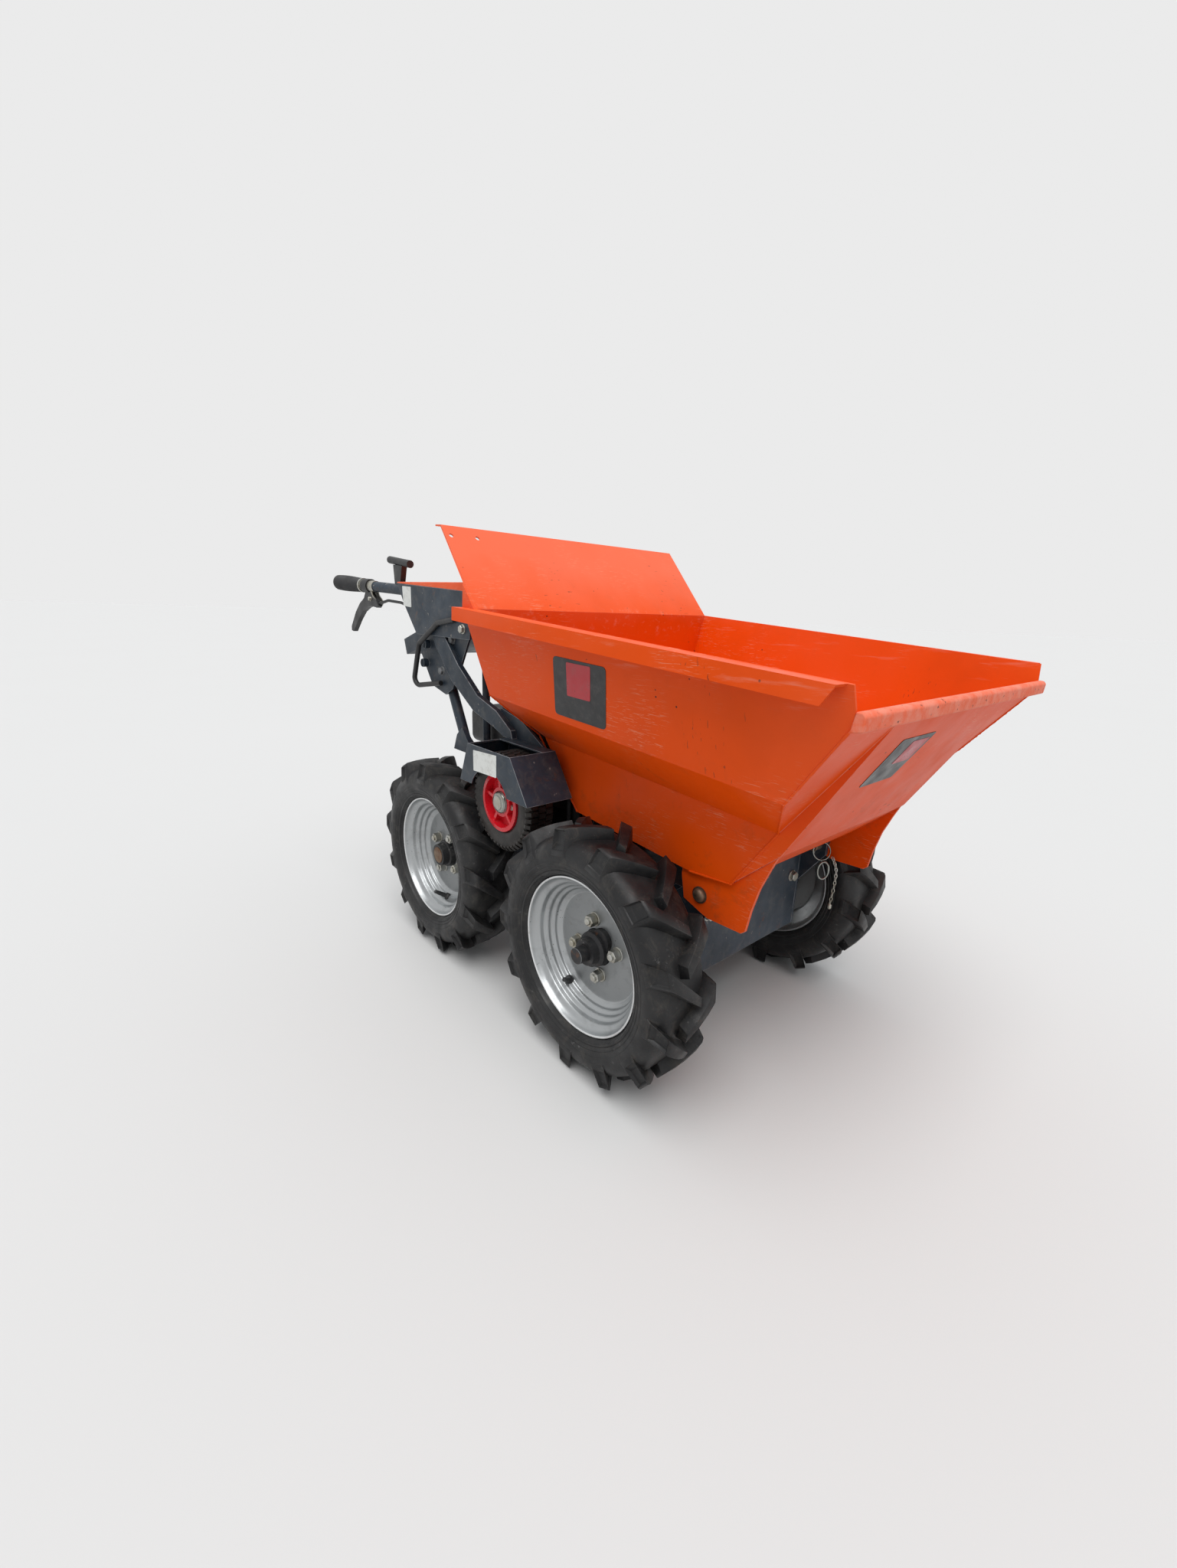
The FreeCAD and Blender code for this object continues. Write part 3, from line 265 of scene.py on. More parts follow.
def skip_paint(name, orange, wear, rubbed=0.0):
    """Orange powder coat, faded, speckled, scratched and dirty low down, with a painted sheen that lightens it
    towards the top and lighter flange streaks that are partly painted highlight; rubbed is worn pink and
    chalky, and on rounded edges it is partly painted highlight too.
    """
    make = Finish(name, orange)
    faded = tuple(min(1, c * 1.05 + 0.045) for c in orange)
    make.coat(make.mottle((2.3, 3, 0.6), 0.42, 0.68, 0, wear.fade), faded)
    make.coat(make.mottle((5.5, 5, 0.6), 0.5, 0.75, 0, 0.35), dimmed(orange, 0.72))
    # Painted sheen: from 0.76 m up the orange turns lighter and pinker, standing in for sky light on the high
    # faces.
    sheen_height = make.sums("ADD", make.axis("Z"), make.mottle((4,), 0.3, 0.7, -0.04, 0.04))
    make.coat(make.span(sheen_height, 0.76, 0.90, 0, wear.fade * 1.6), (0.86, 0.19, 0.105))
    grime = make.mottle((26, 8, 0.68, 0.4), 0.56, 0.78, 0, 0.55)
    make.coat(make.both(grime, make.span(make.axis("Z"), 0.62, 0.36, 0.12, 1)), (0.16, 0.055, 0.022))
    scratch = 0
    for turn in ((12, 28, 0), (-24, -9, 40)):
        lines = make.mottle((1, 3, 0.5, 0, make.stretched(46, 46, 700, turn)), 0.63, 0.66)
        scratch = make.sums("MAXIMUM", scratch, make.both(lines, make.mottle((9, 2), 0.5, 0.62)))
    make.coat(make.both(scratch, wear.scratches), (0.76, 0.24, 0.13))
    speck = make.both(make.span(make.cells(58), 0.11, 0.06), make.mottle((10, 2), 0.58, 0.64))
    make.coat(speck, (0.045, 0.020, 0.014))
    scrape = make.mottle((1, 2, 0.5, 0, make.stretched(260, 46, 60, (8, -38, 14))), 0.67, 0.69)
    scrape = make.both(scrape, make.mottle((6, 2), 0.6, 0.66))
    make.coat(make.both(scrape, wear.scratches), (0.10, 0.030, 0.016))
    # The flange band gets lighter streaks, partly scuffs and partly painted highlight along the flange's edges.
    above = make.above_rim()
    flange = make.both(make.span(above, -0.052, -0.03), make.span(above, 0.014, 0.006))
    streaks = make.stretched(9, 60, 90, (0, 4, 0))
    scuffs_and_highlight = make.mottle((1, 5, 0.65, 0.2, streaks), 0.57, 0.72, 0, wear.scratches * 0.8)
    make.coat(make.both(flange, scuffs_and_highlight), (0.78, 0.24, 0.15))
    if rubbed:
        chalk = make.mottle((38, 8, 0.7, 0.3), 0.34, 0.6, 0.25, 1)
        make.coat(make.both(chalk, rubbed), (0.76, 0.25, 0.17))
        make.coat(make.mottle((95, 5, 0.7), 0.63, 0.67), (0.10, 0.045, 0.032))
    roughness = make.mottle((14, 5), 0.3, 0.75, 0.34 + rubbed * 0.2, 0.52 + rubbed * 0.2)
    dents = make.bump(make.noise(3.2, 2, 0.4), 0.22, 0.010)
    return make.done(roughness, make.bump(make.noise(420, 2), 0.05, 0.0006, dents), specular=0.12)


def frame_paint(name, slate, wear, bare=0.0):
    """Blue-grey satin coat with dust and small chips; bare shows metal, as along edges, where the lighter metal
    is partly painted highlight.
    """
    make = Finish(name, slate)
    make.coat(make.mottle((7, 5, 0.6), 0.4, 0.7), tuple(c * 1.7 + 0.004 for c in slate))
    make.coat(make.mottle((48, 8, 0.7, 0.5), 0.5, 0.78, 0, wear.dust), (0.115, 0.105, 0.092))
    make.coat(make.mottle((95, 3, 0.5), 0.70, 0.72), (0.16, 0.15, 0.14))
    rust = make.both(make.mottle((33, 6, 0.7), 0.6, 0.66), make.mottle((5, 2), 0.5, 0.62))
    make.coat(make.both(rust, 0.7), (0.10, 0.038, 0.016))
    if bare:
        make.coat(make.mottle((30, 6, 0.7), 0.32, 0.62, 0, bare), (0.36, 0.38, 0.39))
    normal = make.bump(make.noise(520, 2), 0.06, 0.0005, make.bump(make.noise(6, 2), 0.12, 0.004))
    return make.done(make.mottle((20, 5), 0.3, 0.7, 0.34, 0.60), normal, specular=0.36)


def rim_paint(name, silver, wear, dulled=0.0):
    """Silver wheel paint with grey scuffs, brown splashes and a slightly hammered surface."""
    make = Finish(name, silver)
    make.coat(make.mottle((16, 7, 0.68, 1.2), 0.5, 0.75, 0, 0.75), dimmed(silver, 0.62))
    make.coat(make.mottle((55, 8, 0.7), 0.6, 0.75, 0, wear.dust), (0.17, 0.145, 0.115))
    speck = make.both(make.span(make.cells(150), 0.16, 0.1), make.mottle((24, 2), 0.55, 0.62))
    make.coat(speck, (0.05, 0.045, 0.04))
    roughness = make.mottle((30, 5), 0.3, 0.7, 0.27 + dulled, 0.42 + dulled)
    normal = make.bump(make.noise(60, 3), 0.04, 0.0008, make.bump(make.noise(7, 2), 0.15, 0.003))
    return make.done(roughness, normal, metallic=0.75)


def gloss_red(name, red):
    """Glossy enamel, darker in patches and gritty in places."""
    make = Finish(name, red)
    make.coat(make.mottle((30, 6, 0.7), 0.5, 0.75, 0, 0.55), dimmed(red, 0.45))
    make.coat(make.mottle((120, 5, 0.7), 0.62, 0.7, 0, 0.7), (0.13, 0.09, 0.075))
    return make.done(make.mottle((22,), 0.3, 0.7, 0.18, 0.42), make.bump(make.noise(70, 2), 0.08, 0.001))


def tyre_rubber(name, wear, brown=0.0, greyed=(0.026, 0.0255, 0.025)):
    """Black rubber greyed by dust, with dried mud in patches and fine pitting; a lighter grey makes the lugs'
    edge rubber, partly scuffs and partly painted highlight.
    """
    make = Finish(name, (0.0075, 0.0075, 0.0082))
    make.coat(make.mottle((9, 6, 0.65), 0.45, 0.72), greyed)
    make.coat(make.mottle((30, 9, 0.74, 0.6), 0.52, 0.74, 0, wear.dust), (0.085, 0.074, 0.060))
    scuff = make.both(make.mottle((130, 5, 0.7), 0.6, 0.7), make.mottle((12, 2), 0.5, 0.62))
    make.coat(make.both(scuff, 0.5), (0.16, 0.155, 0.15))
    if brown:
        make.coat(make.mottle((18, 5, 0.65), 0.35, 0.7, brown * 0.3, brown), (0.045, 0.034, 0.026))
    normal = make.bump(make.noise(240, 5, 0.65), 0.22, 0.0010, make.bump(make.noise(22), 0.25, 0.002))
    return make.done(make.mottle((26, 6), 0.3, 0.7, 0.36, 0.66), normal, specular=0.38)


def bare_metal(name, colour, rough, stain, stain_share):
    """Plated or bare metal with stains."""
    make = Finish(name, colour)
    make.coat(make.mottle((40, 6, 0.65), 0.38, 0.68, 0, stain_share), stain)
    make.coat(make.mottle((170, 5, 0.7), 0.6, 0.72, 0, 0.6), dimmed(stain, 0.35))
    roughness = make.mottle((60, 5), 0.3, 0.7, rough, rough + 0.2)
    return make.done(roughness, make.bump(make.noise(300, 3), 0.10, 0.0005), metallic=0.92)


def moulded(name, colour, rough, grain=700):
    """Moulded plastic or rubber with a fine grain."""
    make = Finish(name, colour)
    make.coat(make.mottle((24, 6, 0.65), 0.5, 0.78, 0, 0.5), (0.06, 0.055, 0.048))
    roughness = make.mottle((30,), 0.3, 0.7, rough - 0.08, rough + 0.1)
    return make.done(roughness, make.bump(make.noise(grain, 3), 0.16, 0.0006))


def casting(name, colour, stain):
    """Sand-cast metal, oily in patches."""
    make = Finish(name, colour)
    make.coat(make.mottle((16, 6, 0.65), 0.42, 0.7), stain)
    make.coat(make.mottle((60, 8, 0.7), 0.6, 0.75, 0, 0.6), (0.11, 0.095, 0.075))
    normal = make.bump(make.noise(330, 4, 0.6), 0.35, 0.0010)
    return make.done(make.mottle((20,), 0.3, 0.7, 0.4, 0.7), normal, metallic=0.2)


def blank_label(name, colour, scuffed):
    """Printed film or plate with nothing on it, scuffed and dirty in patches."""
    make = Finish(name, colour)
    make.coat(make.mottle((60, 8, 0.7, 0.5), 0.5, 0.72, 0, 0.6), scuffed)
    make.coat(make.mottle((190, 4, 0.7), 0.64, 0.7, 0, 0.8), dimmed(scuffed, 0.5))
    return make.done(make.mottle((40,), 0.3, 0.7, 0.25, 0.5), make.bump(make.noise(260, 3), 0.08, 0.0004))


FINISHES = {}


class DUMPER_OT_finishes(bpy.types.Operator):
    """Makes the finishes, and gives every carried-over piece its own with softened, worn edges whose lighter
    paint is partly painted highlight
    """
    bl_idname = "dumper.finishes"
    bl_label = "Finishes"

    def execute(self, context):
        paint, wear = context.scene.dumper_paint, context.scene.dumper_wear
        orange, slate = tuple(paint.orange), tuple(paint.slate)
        FINISHES.update({
            "orange_paint": skip_paint("orange_paint", orange, wear),
            "orange_edge": skip_paint("orange_edge", orange, wear, 0.8),
            "worn_lip": skip_paint("worn_lip", orange, wear, 0.9),
            "dark_paint": frame_paint("dark_paint", slate, wear),
            "dark_edge": frame_paint("dark_edge", slate, wear, 0.75),
            "silver_paint": rim_paint("silver_paint", tuple(paint.silver), wear),
            "red_paint": gloss_red("red_paint", tuple(paint.red)),
            "tyre": tyre_rubber("tyre_rubber", wear),
            # Lug edges: lighter grey rubber, partly scuffs and partly painted highlight where the edges catch
            # the light.
            "tyre_edge": tyre_rubber("scuffed_and_highlit_rubber", wear, 0, (0.050, 0.048, 0.046)),
            "wheel_disc": rim_paint("wheel_disc", dimmed(paint.silver, 0.72), wear, 0.12),
            # The flange's curl: lighter silver all round, partly worn bare steel and partly painted highlight
            # along the curl.
            "bright_edge": rim_paint("bright_rim_edge", (0.72, 0.73, 0.73), wear),
            "drive_rubber": tyre_rubber("drive_rubber", wear, 0.5),
            "zinc": bare_metal("zinc_plate", (0.50, 0.50, 0.47), 0.30, (0.34, 0.30, 0.21), 0.7),
            "chrome": bare_metal("chrome", (0.31, 0.32, 0.30), 0.10, (0.16, 0.16, 0.13), 0.6),
            "rusty_cap": bare_metal("rusty_cap", (0.24, 0.18, 0.13), 0.45, (0.13, 0.055, 0.025), 0.9),
            "black_steel": frame_paint("black_steel", (0.012, 0.012, 0.013), wear),
            "black_edge": frame_paint("black_edge", (0.014, 0.014, 0.015), wear, 0.5),
            "engine_metal": casting("engine_casting", (0.022, 0.022, 0.024), (0.045, 0.043, 0.042)),
            "black_plastic": moulded("black_plastic", (0.013, 0.013, 0.014), 0.46),
            "grip_rubber": moulded("grip_rubber", (0.018, 0.018, 0.020), 0.62, 900),
            "white_label": blank_label("white_label", (0.68, 0.69, 0.66), (0.36, 0.35, 0.31)),
            "black_label": blank_label("black_label", (0.011, 0.011, 0.012), (0.06, 0.05, 0.045)),
            "red_label": blank_label("red_label", (0.45, 0.020, 0.030), (0.30, 0.05, 0.05)),
        })
        # Roundings take the lighter edge finishes, partly wear and partly painted highlight along the edges.
        edges = {"orange_paint": "orange_edge", "dark_paint": "dark_edge", "black_steel": "black_edge"}
        for part in frame["record"]["subparts"]:
            slot = part["material_slot"]
            coat = [slot, edges.get(slot, slot)]
            if part["node"] == "skip_lip":
                coat = ["worn_lip", "worn_lip"]
            dress_node(NODES[part["node"]], coat, SOFT_EDGES.get(part["node"], SOFT_EDGE))
        return {"FINISHED"}


SOFT_EDGE = 0.0007
SOFT_EDGES = {
    "skip_lip": 0.0045,
    "fuel_tank": 0.0,
    "muffler": 0.0,
    "handlebar_right": 0.0,
    "handlebar_left": 0.0,
    "brake_levers": 0.0018,
    "hand_levers": 0.0014,
    "skip_side_right": 0.0018,
    "skip_side_left": 0.0018,
    "console_top": 0.0012,
    "control_arm_right": 0.0012,
    "control_arm_left": 0.0012,
    "drive_hub_right": 0.0012,
    "drive_hub_left": 0.0012,
}
SHARP = math.radians(32)


def dress_node(node, coat, edge):
    """Finish and worn finish of a carried-over piece, its corners rounded by edge metres; the worn finish on
    the roundings is partly painted highlight.
    """
    node.data.materials.clear()
    for finish in coat:
        node.data.materials.append(FINISHES[finish])
    weld = node.modifiers.new("weld", "WELD")
    weld.merge_threshold = 0.00002
    flats = node.modifiers.new("flats", "DECIMATE")
    flats.decimate_type = "DISSOLVE"
    flats.angle_limit = math.radians(0.5)
    if edge:
        bevel = node.modifiers.new("edges", "BEVEL")
        bevel.width = edge
        bevel.segments = 2
        bevel.limit_method = "ANGLE"
        bevel.angle_limit = SHARP
        bevel.material = 1
    for face in node.data.polygons:
        face.use_smooth = True
    crisp = node.modifiers.new("crisp", "EDGE_SPLIT")
    crisp.split_angle = math.radians(46)
    crisp.use_edge_sharp = False
    level = node.modifiers.new("level", "WEIGHTED_NORMAL")
    level.mode = "FACE_AREA"
    level.weight = 100


# Shapes

def finished(name, bm, finish, body, replaces=(), smooth=SHARP):
    """Turns a bmesh in frame metres into a piece that rides on a body."""
    finishes = finish if isinstance(finish, tuple) else (finish,)
    bmesh.ops.recalc_face_normals(bm, faces=bm.faces)
    mesh = bpy.data.meshes.new(name)
    bm.to_mesh(mesh)
    bm.free()
    for face in mesh.polygons:
        face.use_smooth = True
    mesh.set_sharp_from_angle(angle=smooth)
    piece = bpy.data.objects.new(name, mesh)
    bpy.context.scene.collection.objects.link(piece)
    for key in finishes:
        mesh.materials.append(FINISHES[key])
    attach(piece, body)
    if replaces:
        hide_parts(*replaces)


def rounded(bm, width, segments, faces, finish=-1):
    """Bevels the sharp edges of faces; finish is the roundings' own finish, -1 for none."""
    pool = {edge for face in faces for edge in face.edges}
    edges = [edge for edge in pool if len(edge.link_faces) == 2 and edge.calc_face_angle(0) > SHARP]
    bmesh.ops.bevel(
        bm, geom=edges, offset=width, segments=segments, profile=0.5, affect="EDGES",
        clamp_overlap=True, material=finish,
    )


def turns(count, first=0.0):
    """Angles in even steps round a circle."""
    return [first + 2 * math.pi * k / count for k in range(count)]


def wheel_spot(middle, radius, y, angle):
    """A place round a wheel: angle from forward toward the top, y from the wheel's middle."""
    return middle + Vector((radius * math.cos(angle) * MM, y * MM, radius * math.sin(angle) * MM))


def skin(bm, rings, closed=False, capped=True):
    """Joins rings of vertices with faces, round to the first ring or else with a cap at each end."""
    pairs = list(zip(rings, rings[1:]))
    if closed:
        pairs.append((rings[-1], rings[0]))
    faces = []
    for near, far in pairs:
        for k in range(len(near)):
            n = (k + 1) % len(near)
            faces.append(bm.faces.new((near[k], near[n], far[n], far[k])))
    if capped and not closed:
        faces += [bm.faces.new(rings[0]), bm.faces.new(rings[-1])]
    return faces


def prism(bm, *outlines):
    """A closed solid through outlines of places, each with as many corners."""
    return skin(bm, [[bm.verts.new(place) for place in outline] for outline in outlines])


def spun(bm, middle, profile, segments, side=1, closed=True):
    """A ring about Y; profile holds (radius, y) in millimetres, y outward on that side."""
    rings = []
    for radius, y in profile:
        rings.append([bm.verts.new(wheel_spot(middle, radius, side * y, angle)) for angle in turns(segments)])
    return skin(bm, rings, closed, capped=False)


def upright(way):
    """Two directions square to way and to each other."""
    way = Vector(way).normalized()
    side = way.cross(Vector((0, 0, 1)) if abs(way.z) < 0.9 else Vector((1, 0, 0))).normalized()
    return side, way.cross(side)


def loop_at(middle, across, up, radius, count, turn=0.0):
    """Places round a loop in the plane of across and up."""
    return [middle + (across * math.cos(a) + up * math.sin(a)) * radius * MM for a in turns(count, turn)]


def stacked(bm, foot, way, steps, count=24, turn=0.0):
    """A turned or hexagonal fitting: steps hold (how far along way, radius) in millimetres."""
    way = Vector(way).normalized()
    across, up = upright(way)
    prism(bm, *[loop_at(foot + way * along * MM, across, up, radius, count, turn) for along, radius in steps])


def dome(foot, height, radius, step):
    """Steps of a domed head, from its foot nearly to its top; step is in degrees."""
    angles = [math.radians(angle) for angle in range(0, 86, step)]
    return [(foot + height * math.sin(angle), radius * math.cos(angle)) for angle in angles]


def hex_nut(bm, foot, way, across, thick, turn, stud):
    """A washer, a chamfered nut and the end of its stud, if it has one, standing on foot along way."""
    base = 2.4
    stacked(bm, foot, way, ((0, across * 0.68), (1.8, across * 0.68), (base, across * 0.64)), 28)
    corner = across / math.sqrt(3)
    top = base + thick
    steps = ((base, corner * 0.94), (base + 1, corner), (top - 1.2, corner), (top, corner * 0.90))
    stacked(bm, foot, way, steps, 6, turn)
    if stud:
        stacked(bm, foot, way, ((top - 1, stud), (top + 3, stud), (top + 4, stud * 0.78)), 20)


def hex_bolt(bm, foot, way, across, turn):
    """A washer and a bolt's head."""
    hex_nut(bm, foot, way, across, across * 0.42, turn, stud=0)


def tube(bm, points, radius, count=12, closed=False):
    """A round wire through points in metres."""
    rings = []
    across = None
    total = len(points)
    for k, point in enumerate(points):
        ahead = points[(k + 1) % total] if closed or k + 1 < total else point
        back = points[k - 1] if closed or k > 0 else point
        way = (ahead - back).normalized()
        if across is None:
            across = upright(way)[0]
        across = (across - way * across.dot(way)).normalized()
        ring = loop_at(point, across, way.cross(across), radius, count)
        rings.append([bm.verts.new(place) for place in ring])
    skin(bm, rings, closed)


def smooth_run(points, steps):
    """Places along a smooth curve through the points."""
    points = [points[0], *points, points[-1]]
    run = []
    for a, b, c, d in zip(points, points[1:], points[2:], points[3:]):
        for k in range(steps):
            t = k / steps
            square = (2 * a - 5 * b + 4 * c - d) * t * t
            run.append(0.5 * ((2 * b) + (c - a) * t + square + (3 * b - a - 3 * c + d) * t ** 3))
    run.append(points[-2])
    return run


# Road wheels

LUG_PHASES = {"front_right": 5.9, "rear_right": 22.7, "front_left": 12, "rear_left": 3}
CARCASS = (
    # radius, y outward: from the bead over the sidewall to the crown
    (130, 0), (130, 20), (137, 33), (140.4, 38.6), (141.6, 42), (143.5, 44.5), (146, 47.5), (147, 50),
    (150, 50.6), (151.5, 49.8), (154, 52.2), (156.5, 53.2), (158, 52.6), (161, 54.6), (165, 55.8),
    (166.5, 55.2), (170, 56.3), (177, 56.4), (184, 55.4), (191, 53), (197, 49), (202, 42.5), (205.5, 33),
    (207, 18), (207.5, 0),
)
LUG_STATIONS = (
    # y outward, share of the lag, top radius, half widths at the top and the root, root radius
    (-12.0, -0.20, 226.0, 8.4, 13.4, 200),
    (12.0, 0.21, 227.4, 10.4, 15.5, 200),
    (30.0, 0.53, 227.2, 11.8, 17.0, 199),
    (46.0, 0.82, 225.8, 13.4, 18.5, 193),
    (50.5, 0.90, 222.5, 13.8, 18.8, 190),
    (56.6, 1.00, 188.0, 15.5, 19.5, 178),
)


def add_lug(bm, middle, side, first, tread):
    """One bar of the tread, with the hollow in its shoulder's face."""
    rings = []
    for y, lag, top, top_half, root_half, root in LUG_STATIONS:
        turn = first + lag * tread.lag
        corners = ((top, -top_half), (top, top_half), (root, root_half), (root, -root_half))
        rings.append([bm.verts.new(wheel_spot(middle, r, side * y, turn + half / r)) for r, half in corners])
    faces = skin(bm, rings)
    shoulder = faces[4 * (len(LUG_STATIONS) - 2)]
    bmesh.ops.recalc_face_normals(bm, faces=faces)
    bmesh.ops.inset_individual(bm, faces=[shoulder], thickness=0.0042, depth=-0.0055)


def build_tyre(name, middle, side, body, tread):
    """The casing with its rings, and the lugs on each half; the left half stands half a step on."""
    bm = bmesh.new()
    for half in (-1, 1):
        spun(bm, middle, CARCASS, 130, half, closed=False)
    casing = set(bm.faces)
    for half, shift in ((-1, 0), (1, 0.5)):
        step = 2 * math.pi / tread.lugs
        for k in range(tread.lugs):
            add_lug(bm, middle, half, math.radians(LUG_PHASES[name]) + step * (k + shift), tread)
    # The lugs' roundings take the lighter edge rubber, partly painted highlight.
    rounded(bm, tread.edge, 2, [face for face in bm.faces if face not in casing], 1)
    finished("road_tyre_" + name, bm, ("tyre", "tyre_edge"), body, ["tyre_" + name])


RIM_PROFILE = (
    # radius, y outward: round the flange, in over the steps to the disc, then back behind
    (140, 39.4), (140, 42.2), (139, 43), (137.4, 42.9), (136.2, 41.6), (135.2, 38.4), (133.4, 34),
    (130.2, 30.6), (126.4, 28.8), (124.0, 27.2), (123.0, 25), (122.4, 19.6), (121.2, 17.2), (117.8, 15.6),
    (115.8, 14.2), (115.0, 11.6), (114.6, 8.6), (113.4, 6.6), (110.0, 5.2), (108.2, 3.8), (107.4, 1.4),
    (107.0, -1), (105.6, -2.8), (102.4, -4.0), (100.8, -5.4), (97.4, -7.6), (93, -8), (74, -7.7), (64, -8),
    (33.5, -8), (33.5, -14), (100, -14), (105, -22), (123.8, -26), (130, -31), (135, -38.4), (136.2, -41.6),
    (137.4, -42.9), (139, -43), (140, -42.2), (140, -39.4), (137.6, -36), (132, -28), (127, -22),
    (108.5, -17), (110.5, -1), (111.4, 3.6), (117.6, 7.6), (118.6, 12.6), (125.4, 16.6), (126.6, 24),
    (132, 28), (137.6, 36),
)
RIM_SEGMENTS = 120
RIM_EDGE_BANDS = range(4)
RIM_DISC_BANDS = range(25, 31)
NUT_CIRCLE = 51
NUT_PHASES = {"front": math.radians(11.5), "rear": math.radians(60)}
VALVE_ANGLES = {"front": math.radians(-123), "rear": math.radians(-87)}
VALVE_TIPS = {"front": 22, "rear": 36}
DISC_FACE = -8


def build_rim(name, end, middle, side, body):
    """The stepped rim with its bright edge, which is partly painted highlight, and plain disc, the nuts and the
    valve.
    """
    bm = bmesh.new()
    for k, face in enumerate(spun(bm, middle, RIM_PROFILE, RIM_SEGMENTS, side)):
        band = k // RIM_SEGMENTS
        # The flange's bands take the bright edge finish, partly painted highlight.
        if band in RIM_EDGE_BANDS:
            face.material_index = 1
        elif band in RIM_DISC_BANDS:
            face.material_index = 2
    coats = ("silver_paint", "bright_edge", "wheel_disc")
    finished("rim_dressed_" + name, bm, coats, body, ["rim_" + name], math.radians(50))
    bm = bmesh.new()
    for k, angle in enumerate(turns(4, NUT_PHASES[end])):
        foot = wheel_spot(middle, NUT_CIRCLE, side * DISC_FACE, angle)
        hex_nut(bm, foot, (0, side, 0), 19, 14, angle + k * 0.4, 6.2)
    finished("wheel_nuts_" + name, bm, "zinc", body)
    bm = bmesh.new()
    angle = VALVE_ANGLES[end]
    tip = VALVE_TIPS[end]
    lean = Vector((-math.cos(angle) * 0.7, side, -math.sin(angle) * 0.7))
    steps = ((-4, 8), (2, 8), (5, 5.4), (tip - 8, 4.6), (tip - 6, 4.2), (tip, 4.2), (tip + 1, 3.4))
    stacked(bm, wheel_spot(middle, 109, side * 5, angle), lean, steps, 18)
    finished("tyre_valve_" + name, bm, "black_plastic", body)


HUB_BARREL = ((14.7, -52), (32, -52), (32, -26), (62, -26), (62, -14.2), (33, -14.2))
HUB_BOSSES = {
    # radius, y outward: from the disc to the boss's end and its bore
    "front": ((31, 6), (25, 10), (23, 23), (14.7, 23)),
    "rear": ((31, 4), (26.5, 6), (25, 21), (14.7, 21)),
}
LOBE_THICK = 9


def build_hub(name, end, middle, side, body):
    """Boss on its spindle and the flange behind the disc; a front one has two lobes, each between a pair of
    nuts.
    """
    bm = bmesh.new()
    faces = spun(bm, middle, HUB_BARREL + HUB_BOSSES[end], 64, side)
    if end == "front":
        outline = []
        for angle in turns(96):
            lobe = max(0.0, math.cos(2 * (angle - NUT_PHASES["front"] - math.pi / 4))) ** 0.8
            outline.append((29 + 16 * lobe, angle))
        ends = []
        for y in (DISC_FACE, DISC_FACE + LOBE_THICK):
            ends.append([wheel_spot(middle, radius, side * y, angle) for radius, angle in outline])
        faces += prism(bm, *ends)
    rounded(bm, 0.0012, 2, faces)
    finished("hub_dressed_" + name, bm, "black_steel", body, ["hub_" + name])


class DUMPER_OT_road_wheels(bpy.types.Operator):
    """Lugged tyres, stepped rims, hubs, nuts and valves of the four road wheels"""
    bl_idname = "dumper.road_wheels"
    bl_label = "Road wheels"

    def execute(self, context):
        for end, ahead in ENDS:
            for side_name, side in SIDES:
                name = end + "_" + side_name
                body = "wheel_" + name
                middle = spot(ahead * AXLE_X, side * TYRE_PLANE, AXLE_Z)
                build_tyre(name, middle, side, body, context.scene.dumper_tread)
                build_rim(name, end, middle, side, body)
                build_hub(name, end, middle, side, body)
                if end == "rear":
                    bm = bmesh.new()
                    steps = ((0, 19), (2.4, 19), (3.6, 17.6), (3.0, 14), (3.2, 0.5))
                    stacked(bm, wheel_spot(middle, 0, side * 19.5, 0), (0, side, 0), steps, 48)
                    finished("dust_cap_" + name, bm, "rusty_cap", body)
        return {"FINISHED"}


# Drive wheels

DRIVE_SECTION = (
    # radius, y outward
    (58.2, 26), (60, 28.6), (64, 30.4), (70, 31.6), (74, 32.6), (76, 32.2), (82, 32.4), (87, 31), (91, 28.4),
    (93.2, 24), (94.0, 14), (94.2, 0),
)
DRIVE_ROWS = (
    # y from, y to, shift in steps
    (-24, -9, 0), (-7.5, 7.5, 0.5), (9, 24, 0),
)
SHOULDER_BLOCK = ((98.0, 25.2), (90.0, 31.6), (86.5, 31.2), (92.0, 24.8))


